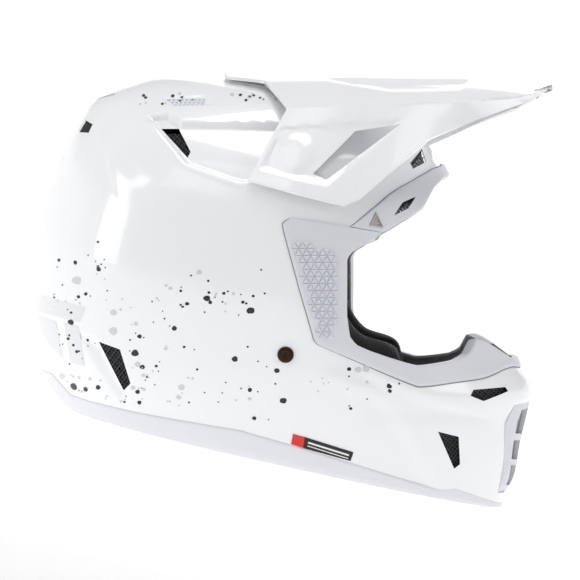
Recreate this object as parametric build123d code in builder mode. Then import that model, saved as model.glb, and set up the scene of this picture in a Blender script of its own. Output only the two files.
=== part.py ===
from build123d import *
import os
from math import copysign, cos, pi, radians, sin

# Off-road full-face helmet standing on its flat base edge: millimetres, +Z up, +X to the face,
# -Y the wearer's right. The origin is the centre of the standing footprint's box.
# Outlines are drawn in the head frame: x forward and z up as the helmet is worn, which is the
# standing frame tipped back by RAKE about the origin.

# Driving dimensions
SHELL_LENGTH = 348.0  # rear bulge to chin point, along the head frame
SHELL_WIDTH = 246.0  # across the ears
CROWN_HEIGHT = 263.0  # crown above the origin, in the head frame
RAKE = 13.0  # degrees between the worn attitude and standing on the base
SQUARENESS = 2.25  # exponent of the superellipse sections: 2 is an ellipse
SHELL_WALL = 3.0
FACE_GAP = 0.3  # between the shell and what is bonded inside it
CHANNEL_DEPTH = 4.0  # recess that runs under the peak on each side
LINER_INNER = 30.0  # depth of the impact liner's inner face below the outer surface
COMFORT_INNER = 38.0
CHIN_LINER_INNER = 16.0
CHIN_PAD_INNER = 21.0
PAD_OUTER = 13.5
PAD_INNER = 40.0
TAB_OUTER = 34.0
TAB_THICK = 1.5
NECK_ROLL_OUTER = 5.5
NECK_ROLL_INNER = 30.0
TRIM_PROUD = 2.0  # eyeport trims stand this far off the shell
TRIM_WRAP = 2.0  # and reach this far into the opening
BASE_TRIM_PROUD = 0.8
BASE_TRIM_INNER = 5.0
GRILLE_PROUD = 1.5
GRILLE_INNER = 5.0
SCREEN_OUTER = 1.2
SCREEN_INNER = 2.2
BADGE_THICK = 1.0
LABEL_THICK = 0.4
PEAK_WALL = 2.4
PIVOT_PLUG_RADIUS = 8.0
PIVOT_PIN_RADIUS = 4.0
PIVOT_HUB_RADIUS = 7.0
PIVOT_CLEARANCE = 0.08
PIVOT_SINK = 2.0  # plug's outer face below the shell's surface
PIVOT_PLUG_LENGTH = 12.0
PIVOT_PIN_LENGTH = 5.0
PIVOT_HUB_LENGTH = 16.0  # before the peak's outer face trims it
STRAP_WIDTH = 20.0
STRAP_THICK = 1.8
RIVET_HEAD_RADIUS = 5.5
RIVET_HEAD_HEIGHT = 1.8
RIVET_SHANK_RADIUS = 2.5
RIVET_FLANGE_RADIUS = 6.0
RING_WIRE_RADIUS = 1.75
RING_PITCH = 4.0  # between the two stacked rings
RING_SIDE_ROOM = 5.0  # ring's bar past the webbing, each side
RING_FLARE = 2.0
RING_SHOULDER = 11.0
RING_TAPER = 6.0
RING_DEPTH = 24.0
RING_BEND = 4.0
STRAP_LIFT = 8.5  # lowest run of the strap above the ground
STRAP_CLEAR = 5.0  # middle of the strap outside the cheek pad's lower corner
STRAP_TURN = 14.0  # how far the strap comes in under the pad
STRAP_END = 9.0  # webbing past the rivet
STRAP_BEND = 6.0
LEFT_END_RISE = 2.0  # the left half turns in this much higher than its low run
LEFT_BEND_ROOM = 14.0  # from the right loop's Y to the left half's bend
LEFT_END_ROOM = 18.0  # from the right loop's Y to the left half's free end
PAD_CORNER = 20.0  # head-frame height of the pad's lower corner at the rivets
LOOP_Y = 46.0  # D-ring loop from the mid plane
LOOP_RISE = 10.5  # and above the other half of the strap
LOOP_CLEARANCE = 0.15
RIVET_SPACER = 2.2  # shell's inner face to the strap
RIVET_SEAT = 0.9  # flat parts of the rivet stand off the curved shell by this
RIVET_FLANGE_HEIGHT = 1.2
RIVET_SLACK = 0.1  # webbing's hole round the shank, and flanges off the webbing
PAD_LIFT = 24.0  # cheek pads' lower faces above the ground
PULL_TAB_LIFT = 10.0
CHIN_LIFT = 14.0  # chin liner's lower face
NECK_LIFT = 6.0

# The head-frame outlines below are drawn for this size and stretched to the driving dimensions
DRAWN_LENGTH, DRAWN_WIDTH, DRAWN_HEIGHT = 348.0, 246.0, 263.0
LONG = SHELL_LENGTH / DRAWN_LENGTH
WIDE = SHELL_WIDTH / DRAWN_WIDTH
TALL = CROWN_HEIGHT / DRAWN_HEIGHT
INSET_X = 160.0 * LONG  # mean reach that an inset is measured against
INSET_Y = 122.0 * WIDE
REACH = 220.0 * max(LONG, WIDE, TALL)  # longer than any piece
FAR = 260.0

# Outer form: level, rear, front, half width, x of the widest point
SECTIONS = (
    (-60, -88, 163, 78, 12),
    (-25, -112, 174, 95, 5),
    (0, -122, 181, 104, 0),
    (27, -131, 187, 112, -5),
    (50, -146, 189, 117, -8),
    (75, -156, 181, 120, -10),
    (110, -159, 167, 123, -12),
    (150, -154, 153, 121, -12),
    (185, -145, 136, 113, -12),
    (210, -136, 122, 99, -13),
    (232, -124, 98, 78, -15),
    (247, -110, 62, 55, -20),
    (256, -86, 8, 34, -36),
    (261, -66, -38, 10, -52),
)
RING_POINTS = 24

# Side outlines, head-frame x and z
EYEPORT = (
    (65, 99), (65, 134), (68, 139), (84, 146), (88, 152), (116, 169), (119, 176), (123, 184),
    (130, 189), (FAR, 214), (FAR, 66), (176, 66), (165, 74), (152, 80), (146, 70), (142, 67),
    (113, 63), (91, 69), (72, 77), (68, 82),
)
SIDE_TRIM = (
    (21, 158), (26, 162), (66, 156), (88, 152), (FAR, 152), (FAR, 58), (176, 60), (157, 53),
    (112, 49), (46, 77), (43, 81),
)
BROW_TRIM = (
    (67, 156), (96, 181), (127, 198), (FAR, 222), (FAR, 152.2), (88.2, 152.2),
)
BADGE = ((79, 157), (83, 166), (88, 155.5))
CHANNEL = (
    (-72, 232), (-57, 235), (-48, 229), (22, 227), (40, 205), (6, 187), (-7, 186), (-44, 199),
)
SIDE_VENTS = {
    "side_exhaust": ((-62, 223), (-50, 223), (-41, 207), (-43, 203)),
    "rear_low": ((-103, 79), (-88, 74), (-81, 51), (-86, 46)),
    "brow_upper": ((107, 200), (109, 196), (118, 201), (115, 210)),
    "brow_lower": ((96, 164), (102, 173), (111, 177), (106, 169)),
    "chin_upper": ((148, 42), (150, 46), (172, 47), (174, 44), (157, 38)),
    "chin_lower": ((126, 18), (140, 14), (141, -5), (137, -8)),
}
LABEL = ((29, 16.8), (27, 10.8), (67, -1.2), (69, 4.8))
CROWN = (
    (-FAR, 62), (-61, 62), (-21, 86), (38, 98), (54, 114), (58, 118), (58, 140), (80, 157),
    (108, 174), (118, 190), (FAR, 216), (FAR, 300), (-FAR, 300),
)
COMFORT = (
    (-FAR, 72), (-66, 72), (-24, 94), (36, 104), (50, 118), (54, 142), (74, 160), (96, 176),
    (FAR, 206), (FAR, 300), (-FAR, 300),
)
CHEEK_TOP = ((-11, 82), (38, 96), (54, 110), (60, 112), (62, 104), (73, 86), (95, 78), (101, 72))
PULL_TAB_SPAN = (52, 66)
AIR_PORT = ((0, 28), (34, 26), (26, -4), (0, -6))  # behind the mouth grille
CHIN_LINER_TOP = ((102, 60), (113, 56), (142, 60), (150, 72), (FAR, 82))
REAR_EXHAUST = ((32, 231), (48, 227), (52, 221), (36, 222))  # y and z, seen from behind
MOUTH_GRILLE = ((0, 37), (46, 34), (50, 22), (34, -27), (0, -29))  # y and z, seen from the front
MOUTH_SLOTS = (
    ((6, 31), (33, 30), (36, 22), (34, 14), (6, 12)),
    ((6, 8), (33, 9), (30, -4), (6, -6)),
    ((6, -10), (29, -8), (26, -22), (6, -24)),
)
# White-to-grey seam above the base edge: head-frame x, height above the ground
SEAM = (
    (-FAR, 24), (-139, 23), (-126, 12.5), (-112, 12), (-81, 13), (-7, 18), (27, 16),
    (69, 12.5), (126, 7), (137, 10), (172, 3.5), (FAR, 3.5),
)

# Peak: station x, ridge height, shoulder y and z, crease y and z, edge y and z
PEAK_STATIONS = (
    (-34, 266, 38, 262, 80, 241, 124, 176),
    (20, 267.5, 38, 264, 88, 237, 124, 172),
    (65, 267.5, 38, 264, 87, 238, 119, 158),
    (125, 265.5, 36, 262, 80, 241, 94, 200),
    (187, 261, 30, 258, 68, 244, 70, 232),
    (206, 255.5, 12, 255, 24, 253, 26, 246),
)
PEAK_SIDE = (
    (-21, 280), (-21, 258), (7, 256.5), (14, 248), (24, 239), (-1, 188), (27, 180), (63, 171),
    (73, 175), (120, 216), (187, 241), (206, 252), (206, 280),
)
PEAK_WINDOW = ((42, 192), (51, 188), (101, 226), (70, 221))
PEAK_FLOOR = 120.0  # the peak's envelope is closed at this level
PIVOT = (30, 206)
RIVET = (24, 71)

HEAD_X = Vector(cos(radians(RAKE)), 0, sin(radians(RAKE)))
HEAD_Z = Vector(-sin(radians(RAKE)), 0, cos(radians(RAKE)))
SIDE = Plane(origin=(0, 0, 0), x_dir=HEAD_X, z_dir=(0, -1, 0))
FRONT = Plane(origin=(0, 0, 0), x_dir=(0, 1, 0), z_dir=HEAD_X)
SIDES = {"right": -1, "left": 1}

pieces = {}
forms = {}


def head(x, z):
    """A side-outline point, stretched to the driving dimensions."""
    return (x * LONG, z * TALL)


def above_ground(x, lift):
    """The head-frame point at x that stands lift above the ground."""
    slope = radians(RAKE)
    return (x * LONG, (lift - x * LONG * sin(slope)) / cos(slope))


def standing(x, y, z):
    """The standing-frame point of a head-frame point."""
    return HEAD_X * x + Vector(0, y, 0) + HEAD_Z * z


def soften(value):
    """The superellipse's version of a sine or cosine."""
    return copysign(abs(value) ** (2 / SQUARENESS), value)


def section_ring(row, inset):
    """Points round one level of the outer form, drawn in by inset."""
    _, rear, front, half, widest = row
    shrink_x = 1 - inset / INSET_X
    shrink_y = 1 - inset / INSET_Y
    ring = []
    for step in range(RING_POINTS):
        angle = 2 * pi * step / RING_POINTS
        reach = front - widest if cos(angle) >= 0 else widest - rear
        x = (widest + reach * soften(cos(angle)) * shrink_x) * LONG
        ring.append((x, half * WIDE * soften(sin(angle)) * shrink_y))
    return ring


def build_form(inset):
    """Closed solid inside the outer surface, smaller all round by inset."""
    with BuildPart() as body:
        for row in SECTIONS:
            level = row[0] * TALL
            if level > 0:
                level *= 1 - inset / CROWN_HEIGHT
            with BuildSketch(Plane(origin=HEAD_Z * level, x_dir=HEAD_X, z_dir=HEAD_Z)):
                with BuildLine():
                    Spline(*section_ring(row, inset), periodic=True)
                make_face()
        loft()
    return body.part


def form(inset):
    """The form at an inset, built once."""
    if inset not in forms:
        forms[inset] = build_form(inset)
    return forms[inset]


def outline(plane, *polygons, grow=0.0):
    """Polygon faces on a plane, grown all round where asked."""
    with BuildSketch(plane) as sketch:
        for points in polygons:
            with BuildLine():
                Polyline(*points, close=True)
            make_face()
        if grow:
            offset(amount=grow, kind=Kind.INTERSECTION)
    return sketch.sketch


def side_outline(points, grow=0.0):
    """A side-view outline as a face on the mid plane."""
    return outline(SIDE, [head(x, z) for x, z in points], grow=grow)


def front_pairs(*polygons):
    """Front-view outlines, each with its mirror image on the other side."""
    pairs = [[(side * y * WIDE, z * TALL) for y, z in points] for points in polygons for side in (-1, 1)]
    return outline(FRONT, *pairs)


def both_halves(points):
    """A front-view outline that starts and ends on the centre line, with its mirror image."""
    mirrored = [(-y, z) for y, z in reversed(points)]
    return outline(FRONT, [(y * WIDE, z * TALL) for y, z in (*points, *mirrored[1:-1])])


def surface_y(x, z, inset):
    """Half width of the form at a head-frame point."""
    start = standing(x * LONG, 0, z * TALL)
    hits = form(inset).find_intersection_points(Axis(start, (0, 1, 0)))
    return max(point.Y for point, _ in hits)


def keep(name, part):
    """Label a finished piece and write its file."""
    part.label = name
    export_step(part, f"parts/{name}.step")
    pieces[name] = part


def layer(face, outer, inner, direction=None):
    """The layer between two insets of the form, inside an outline swept one way or both."""
    with BuildPart() as piece:
        if direction is None:
            extrude(face, amount=REACH, both=True)
        else:
            extrude(face, amount=REACH, dir=direction)
        add(form(outer), mode=Mode.INTERSECT)
        add(form(inner), mode=Mode.SUBTRACT)
    return piece.part


def recessed_form(inset):
    """The form with the side channels sunk into it, at an inset."""
    with BuildPart() as channels:
        extrude(side_outline(CHANNEL, grow=inset), amount=REACH, both=True)
        add(form(inset + CHANNEL_DEPTH), mode=Mode.SUBTRACT)
    with BuildPart() as body:
        add(form(inset))
        add(channels.part, mode=Mode.SUBTRACT)
    return body.part


def pivot_axis_plane():
    """Plane across the peak's pivot axis, facing the wearer's left."""
    origin = standing(PIVOT[0] * LONG, 0, PIVOT[1] * TALL)
    return Plane(origin=origin, x_dir=HEAD_X, z_dir=(0, 1, 0))


def seam_line():
    """The seam between shell and base trim, front to rear points in order."""
    return [above_ground(x, height) for x, height in SEAM]


def build_shell():
    """Outer shell with its eyeport, vents, channels, pivot holes and rivet holes."""
    inside = recessed_form(SHELL_WALL)
    above_seam = [*seam_line(), (FAR * LONG, 300 * TALL), (-FAR * LONG, 300 * TALL)]
    rivet_at = standing(RIVET[0] * LONG, 0, RIVET[1] * TALL)
    with BuildPart() as outer_shell:
        add(recessed_form(0))
        add(inside, mode=Mode.SUBTRACT)
        extrude(outline(SIDE, above_seam), amount=REACH, both=True, mode=Mode.INTERSECT)
        extrude(side_outline(EYEPORT, grow=TRIM_WRAP), amount=REACH, both=True, mode=Mode.SUBTRACT)
        for points in SIDE_VENTS.values():
            extrude(side_outline(points), amount=REACH, both=True, mode=Mode.SUBTRACT)
        extrude(front_pairs(REAR_EXHAUST), amount=REACH, dir=HEAD_X * -1, mode=Mode.SUBTRACT)
        extrude(both_halves(MOUTH_GRILLE), amount=REACH, mode=Mode.SUBTRACT)
        with Locations(pivot_axis_plane()):
            Cylinder(PIVOT_PLUG_RADIUS, 2 * REACH, mode=Mode.SUBTRACT)
        with Locations(Plane(origin=rivet_at, z_dir=(0, 1, 0))):
            Cylinder(RIVET_SHANK_RADIUS, 2 * REACH, mode=Mode.SUBTRACT)
    keep("outer_shell", outer_shell.part)


def build_liners():
    """Impact liners of the crown and the chin bar, and the comfort layers on them."""
    ports = [SIDE_VENTS["side_exhaust"], SIDE_VENTS["brow_upper"]]
    with BuildPart() as crown_liner:
        add(recessed_form(SHELL_WALL + FACE_GAP))
        add(form(LINER_INNER), mode=Mode.SUBTRACT)
        extrude(side_outline(CROWN), amount=REACH, both=True, mode=Mode.INTERSECT)
        for points in ports:
            extrude(side_outline(points), amount=REACH, both=True, mode=Mode.SUBTRACT)
        with Locations(pivot_axis_plane()):
            Cylinder(PIVOT_PLUG_RADIUS, 2 * REACH, mode=Mode.SUBTRACT)
    keep("crown_liner", crown_liner.part)
    keep("comfort_liner", layer(side_outline(COMFORT), LINER_INNER + FACE_GAP, COMFORT_INNER))
    chin_zone = [head(x, z) for x, z in CHIN_LINER_TOP]
    chin_zone += [above_ground(FAR, CHIN_LIFT), above_ground(CHIN_LINER_TOP[0][0], CHIN_LIFT)]
    layers = {
        "chin_bar_liner": (SHELL_WALL + FACE_GAP, CHIN_LINER_INNER),
        "chin_bar_pad": (CHIN_LINER_INNER + FACE_GAP, CHIN_PAD_INNER),
    }
    for name, (outer, inner) in layers.items():
        with BuildPart() as chin_piece:
            add(layer(outline(SIDE, chin_zone), outer, inner))
            extrude(side_outline(EYEPORT), amount=REACH, both=True, mode=Mode.SUBTRACT)
            extrude(both_halves(AIR_PORT), amount=REACH, mode=Mode.SUBTRACT)
        keep(name, chin_piece.part)
    neck_zone = [head(-180, 61.5), head(-61, 61.5), head(-21, 85.5), head(-14, 85.5)]
    neck_zone += [above_ground(-14, NECK_LIFT), above_ground(-180, NECK_LIFT)]
    keep("neck_roll", layer(outline(SIDE, neck_zone), NECK_ROLL_OUTER, NECK_ROLL_INNER))


def build_cheek_pads():
    """Removable cheek pads, one a side, each with its pull tab."""
    zone = [head(x, z) for x, z in CHEEK_TOP]
    zone += [above_ground(CHEEK_TOP[-1][0], PAD_LIFT), above_ground(CHEEK_TOP[0][0], PAD_LIFT)]
    tab_zone = [above_ground(x, lift) for x in PULL_TAB_SPAN for lift in (PAD_LIFT, PULL_TAB_LIFT)]
    tab_zone[2], tab_zone[3] = tab_zone[3], tab_zone[2]
    for word, side in SIDES.items():
        outward = (0, side, 0)
        cheek_pad = layer(outline(SIDE, zone), PAD_OUTER, PAD_INNER, outward)
        keep(f"cheek_pad_{word}", cheek_pad)
        pull_tab = layer(outline(SIDE, tab_zone), TAB_OUTER, TAB_OUTER + TAB_THICK, outward)
        keep(f"pull_tab_{word}", pull_tab)


def build_trims():
    """Eyeport trims, badges, base trim and labels."""
    with BuildPart() as behind_trim:
        add(form(0))
        extrude(side_outline(EYEPORT, grow=TRIM_WRAP), amount=REACH, both=True, mode=Mode.SUBTRACT)
    for name, points in {"eyeport_trim": SIDE_TRIM, "brow_trim": BROW_TRIM}.items():
        with BuildPart() as trim:
            add(layer(side_outline(points), -TRIM_PROUD, SHELL_WALL))
            extrude(side_outline(EYEPORT), amount=REACH, both=True, mode=Mode.SUBTRACT)
            add(behind_trim.part, mode=Mode.SUBTRACT)
            if name == "brow_trim":
                vent = side_outline(SIDE_VENTS["brow_lower"])
                extrude(vent, amount=REACH, both=True, mode=Mode.SUBTRACT)
        keep(name, trim.part)
    below_seam = [above_ground(-FAR, 0), *seam_line(), above_ground(FAR, 0)]
    keep("base_trim", layer(outline(SIDE, below_seam), -BASE_TRIM_PROUD, BASE_TRIM_INNER))
    for word, side in SIDES.items():
        outward = (0, side, 0)
        badge = layer(side_outline(BADGE), -TRIM_PROUD - BADGE_THICK, -TRIM_PROUD, outward)
        keep(f"brow_badge_{word}", badge)
        keep(f"release_label_{word}", layer(side_outline(LABEL), -LABEL_THICK, 0, outward))


def build_screens():
    """Air screens across the vents, and the mouth grille."""
    for vent, points in SIDE_VENTS.items():
        sunk = CHANNEL_DEPTH if vent == "side_exhaust" else 0
        for word, side in SIDES.items():
            face = side_outline(points)
            screen = layer(face, SCREEN_OUTER + sunk, SCREEN_INNER + sunk, (0, side, 0))
            keep(f"{vent}_screen_{word}", screen)
    rear_face = front_pairs(REAR_EXHAUST)
    keep("rear_exhaust_screens", layer(rear_face, SCREEN_OUTER, SCREEN_INNER, HEAD_X * -1))
    with BuildPart() as mouth_grille:
        add(layer(both_halves(MOUTH_GRILLE), -GRILLE_PROUD, GRILLE_INNER, HEAD_X))
        extrude(front_pairs(*MOUTH_SLOTS), amount=REACH, mode=Mode.SUBTRACT)
        add(pieces["chin_bar_liner"], mode=Mode.SUBTRACT)
    keep("mouth_grille", mouth_grille.part)
    keep("mouth_screen", layer(front_pairs(*MOUTH_SLOTS), SCREEN_OUTER, SCREEN_INNER, HEAD_X))


def peak_section(station, inset):
    """One cross-section of the peak's envelope, drawn in by inset."""
    _, ridge, shoulder_y, shoulder_z, crease_y, crease_z, edge_y, edge_z = station
    half = [
        (shoulder_y * WIDE - 0.3 * inset, shoulder_z * TALL - inset),
        (crease_y * WIDE - 0.8 * inset, crease_z * TALL - 0.8 * inset),
        (edge_y * WIDE - inset, edge_z * TALL),
        (edge_y * WIDE - inset, PEAK_FLOOR * TALL),
    ]
    other = [(-y, z) for y, z in reversed(half)]
    return [(0, ridge * TALL - inset), *half, *other]


def peak_envelope(inset):
    """Everything under the peak's outer surface, drawn in by inset."""
    with BuildPart() as envelope:
        for station in PEAK_STATIONS:
            plane = Plane(origin=HEAD_X * station[0] * LONG, x_dir=(0, 1, 0), z_dir=HEAD_X)
            with BuildSketch(plane):
                with BuildLine():
                    Polyline(*peak_section(station, inset), close=True)
                make_face()
        loft(ruled=True)
    return envelope.part


def build_peak():
    """The peak with its side windows and pivot hubs, and the plugs that it turns on."""
    seat = surface_y(*PIVOT, 0) - PIVOT_SINK
    pin_end = seat + PIVOT_PIN_LENGTH
    outer = peak_envelope(0)
    with BuildPart() as hubs:
        for side in SIDES.values():
            with Locations(pivot_axis_plane().offset(side * (seat + 0.5 + PIVOT_HUB_LENGTH / 2))):
                Cylinder(PIVOT_HUB_RADIUS, PIVOT_HUB_LENGTH)
        add(outer, mode=Mode.INTERSECT)
    with BuildPart() as peak:
        add(outer)
        add(peak_envelope(PEAK_WALL), mode=Mode.SUBTRACT)
        extrude(side_outline(PEAK_SIDE), amount=REACH, both=True, mode=Mode.INTERSECT)
        extrude(side_outline(PEAK_WINDOW), amount=REACH, both=True, mode=Mode.SUBTRACT)
        add(hubs.part)
        with Locations(pivot_axis_plane()):
            bore = PIVOT_PIN_RADIUS + PIVOT_CLEARANCE
            Cylinder(bore, 2 * (pin_end + 0.5), mode=Mode.SUBTRACT)
            Cylinder(PIVOT_HUB_RADIUS + 1, 2 * (seat + 0.5), mode=Mode.SUBTRACT)
    keep("peak", peak.part)
    for word, side in SIDES.items():
        with BuildPart() as pivot:
            with Locations(pivot_axis_plane().offset(side * (seat - PIVOT_PLUG_LENGTH / 2))):
                Cylinder(PIVOT_PLUG_RADIUS, PIVOT_PLUG_LENGTH)
            with Locations(pivot_axis_plane().offset(side * (seat + PIVOT_PIN_LENGTH / 2))):
                Cylinder(PIVOT_PIN_RADIUS, PIVOT_PIN_LENGTH)
        keep(f"peak_pivot_{word}", pivot.part)


def strap_ribbon(path_points, centre_x):
    """Webbing that follows a path across the helmet, STRAP_WIDTH wide along X."""
    with BuildPart() as ribbon:
        with BuildSketch(Plane.YZ.offset(centre_x)):
            with BuildLine() as path:
                FilletPolyline(*path_points, radius=STRAP_BEND)
            trace(path.line, line_width=STRAP_THICK)
        extrude(amount=STRAP_WIDTH / 2, both=True)
    return ribbon.part


def build_strap():
    """Chin strap halves, the D-rings on the right one and the rivets that both swing on."""
    rivet_at = standing(RIVET[0] * LONG, 0, RIVET[1] * TALL)
    inner_face = surface_y(*RIVET, SHELL_WALL)
    top_y = inner_face - RIVET_SPACER - STRAP_THICK / 2
    low_y = surface_y(RIVET[0], PAD_CORNER, PAD_OUTER) + STRAP_CLEAR
    turn_y = low_y - STRAP_TURN
    loop_z = STRAP_LIFT + LOOP_RISE
    loop_inner = RING_PITCH / 2 + RING_WIRE_RADIUS + LOOP_CLEARANCE
    loop_outer = loop_inner + STRAP_THICK
    run_z = loop_z - (loop_inner + STRAP_THICK / 2)
    rivet_axis = Plane(origin=rivet_at, z_dir=(0, 1, 0))
    right = [(-top_y, rivet_at.Z + STRAP_END), (-top_y, rivet_at.Z - STRAP_END)]
    right += [(-low_y, PAD_LIFT - 1)]
    right += [(-turn_y, run_z), (-LOOP_Y, run_z)]
    left = [(top_y, rivet_at.Z + STRAP_END), (top_y, rivet_at.Z - STRAP_END)]
    left += [(low_y, PAD_LIFT - 1)]
    left += [(turn_y, STRAP_LIFT + LEFT_END_RISE), (LOOP_Y + LEFT_BEND_ROOM, STRAP_LIFT)]
    left += [(LEFT_END_ROOM - LOOP_Y, STRAP_LIFT)]
    ribbons = {
        "right": strap_ribbon(right, rivet_at.X),
        "left": strap_ribbon(left, rivet_at.X),
    }
    loop_plane = Plane(origin=(rivet_at.X, -LOOP_Y, loop_z), x_dir=(0, 1, 0), z_dir=(1, 0, 0))
    for word, ribbon in ribbons.items():
        with BuildPart() as strap:
            add(ribbon)
            with Locations(rivet_axis):
                Cylinder(RIVET_SHANK_RADIUS + RIVET_SLACK, 2 * REACH, mode=Mode.SUBTRACT)
            if word == "right":
                with Locations(loop_plane):
                    Cylinder(loop_outer, STRAP_WIDTH)
                    Cylinder(loop_inner, STRAP_WIDTH, mode=Mode.SUBTRACT)
        keep(f"chin_strap_{word}", strap.part)
    with BuildPart() as rivets:
        head_y = surface_y(*RIVET, 0) + RIVET_SEAT
        start = top_y - STRAP_THICK / 2 - RIVET_FLANGE_HEIGHT - RIVET_SLACK
        steps = (
            (RIVET_SHANK_RADIUS, start, head_y),
            (RIVET_FLANGE_RADIUS, start, start + RIVET_FLANGE_HEIGHT),
            (RIVET_FLANGE_RADIUS, inner_face - RIVET_SPACER + RIVET_SLACK, inner_face - RIVET_SEAT),
            (RIVET_HEAD_RADIUS, head_y, head_y + RIVET_HEAD_HEIGHT),
        )
        for side in SIDES.values():
            for radius, low, high in steps:
                with Locations(rivet_axis.offset(side * (low + high) / 2)):
                    Cylinder(radius, high - low)
    keep("strap_rivets", rivets.part)
    for number, word in enumerate(("lower", "upper")):
        height = loop_z + (number - 0.5) * RING_PITCH
        ring_plane = Plane(origin=(rivet_at.X, -LOOP_Y, height), x_dir=(1, 0, 0), z_dir=(0, 0, 1))
        half = STRAP_WIDTH / 2 + RING_SIDE_ROOM
        corners = [(-half, 0), (half, 0), (half + RING_FLARE, RING_SHOULDER)]
        corners += [(half - RING_TAPER, RING_DEPTH), (RING_TAPER - half, RING_DEPTH)]
        corners += [(-half - RING_FLARE, RING_SHOULDER)]
        with BuildPart() as d_ring:
            with BuildLine(ring_plane) as wire:
                FilletPolyline(*corners, radius=RING_BEND, close=True)
            with BuildSketch(Plane(origin=wire.line @ 0, z_dir=wire.line % 0)):
                Circle(RING_WIRE_RADIUS)
            sweep(path=wire.line)
        keep(f"d_ring_{word}", d_ring.part)


def main():
    """Build every piece of the helmet."""
    os.makedirs("parts", exist_ok=True)
    build_shell()
    build_liners()
    build_cheek_pads()
    build_trims()
    build_screens()
    build_peak()
    build_strap()


main()
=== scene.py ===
"""Off-road full-face helmet: detailed surfaces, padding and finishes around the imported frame.

Shapes are laid out in the head frame, in millimetres: x forward and z up as the helmet is worn.
HeadFrame turns them into the standing frame, in metres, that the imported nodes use.
"""

import logging
import math
import random
from dataclasses import dataclass, field
from enum import Enum

import bmesh
import bpy
import numpy as np
from mathutils import Matrix, Vector
from mathutils.bvhtree import BVHTree


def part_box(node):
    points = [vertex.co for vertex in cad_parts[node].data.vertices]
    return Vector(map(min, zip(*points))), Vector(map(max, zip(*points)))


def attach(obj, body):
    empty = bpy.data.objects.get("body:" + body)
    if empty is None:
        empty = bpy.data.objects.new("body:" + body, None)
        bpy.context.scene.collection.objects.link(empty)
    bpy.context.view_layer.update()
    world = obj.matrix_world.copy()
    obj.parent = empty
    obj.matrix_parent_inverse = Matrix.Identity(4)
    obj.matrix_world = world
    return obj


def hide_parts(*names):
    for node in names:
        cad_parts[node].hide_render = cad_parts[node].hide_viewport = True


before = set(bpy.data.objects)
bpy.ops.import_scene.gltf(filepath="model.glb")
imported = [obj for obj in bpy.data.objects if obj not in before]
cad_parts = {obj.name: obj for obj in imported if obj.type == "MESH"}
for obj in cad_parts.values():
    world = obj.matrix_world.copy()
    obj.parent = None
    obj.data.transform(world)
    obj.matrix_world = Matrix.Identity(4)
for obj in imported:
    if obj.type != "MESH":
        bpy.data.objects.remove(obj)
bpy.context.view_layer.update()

logging.basicConfig(level=logging.INFO, format="%(message)s")
log = logging.getLogger("helmet")

RAKE = math.radians(13.0)  # worn attitude against standing on the base edge
SQUARENESS = 2.25  # exponent of the superellipse levels
MM = 0.001
ALL_ROUND = 2 * math.pi

Outline = tuple[tuple[float, float], ...]


class Side(Enum):
    """Wearer's side of the helmet, with the sign of Y on it."""

    RIGHT = -1
    LEFT = 1

    @property
    def word(self) -> str:
        """Name used in node and piece names."""
        return self.name.lower()


# ---------------------------------------------------------------- outlines shared by the classes

EYEPORT: Outline = (
    (64, 99), (64, 134), (67, 140), (83, 147), (87, 153), (115, 170), (118, 176), (122, 184.5),
    (129, 191), (260, 194), (260, 64), (176, 64), (165, 72), (152, 78), (146, 68), (142, 65),
    (113, 61), (91, 67), (71, 75), (66, 82),
)
CHANNEL: Outline = (
    (-73, 233), (-57, 235), (-48, 229), (22, 227), (40, 205), (6, 187), (-7, 186), (-44, 199),
)
SIDE_VENTS: dict[str, Outline] = {
    "side_exhaust": ((-62, 223), (-50, 223), (-41, 207), (-43, 203)),
    "rear_low": ((-103, 79), (-88, 74), (-81, 51), (-86, 46)),
    "brow_upper": ((107, 200), (109, 196), (118, 201), (115, 210)),
    "brow_lower": ((96, 164), (102, 173), (111, 177), (106, 169)),
    "chin_upper": ((148, 42), (150, 46), (172, 47), (174, 44), (157, 38)),
    "chin_lower": ((126, 18), (140, 14), (141, -5), (137, -8)),
}
REAR_EXHAUST: Outline = ((32, 231), (48, 227), (52, 221), (36, 222))
MOUTH_GRILLE: Outline = ((0, 37), (46, 34), (50, 22), (34, -27), (0, -29))
MOUTH_SLOTS: tuple[Outline, ...] = (
    ((6, 31), (33, 30), (36, 22), (34, 14), (6, 12)),
    ((6, 8), (33, 9), (30, -4), (6, -6)),
    ((6, -10), (29, -8), (26, -22), (6, -24)),
)
# head-frame x, height above the ground
SEAM: Outline = (
    (-260, 24), (-139, 23), (-126, 12.5), (-112, 12), (-81, 13), (-7, 18), (27, 16),
    (69, 12.5), (126, 7), (137, 10), (172, 3.5), (260, 3.5),
)


# ---------------------------------------------------------------- geometry helpers


class HeadFrame:
    """Turns head-frame millimetres into standing-frame metres."""

    axis_x = np.array((math.cos(RAKE), 0.0, math.sin(RAKE)))
    axis_y = np.array((0.0, 1.0, 0.0))
    axis_z = np.array((-math.sin(RAKE), 0.0, math.cos(RAKE)))

    @classmethod
    def to_row(cls, points: np.ndarray) -> np.ndarray:
        """Head-frame points as standing-frame metres.

        Args:
            points: Array of shape (n, 3) in millimetres.

        Returns:
            Array of shape (n, 3) in metres.
        """
        points = np.asarray(points, float)
        turned = np.outer(points[:, 0], cls.axis_x) + np.outer(points[:, 1], cls.axis_y)
        return (turned + np.outer(points[:, 2], cls.axis_z)) * MM


def ground_z(x: np.ndarray, lift: np.ndarray | float) -> np.ndarray:
    """Head-frame z of the point at x that stands lift above the ground."""
    return (lift - x * math.sin(RAKE)) / math.cos(RAKE)


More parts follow.
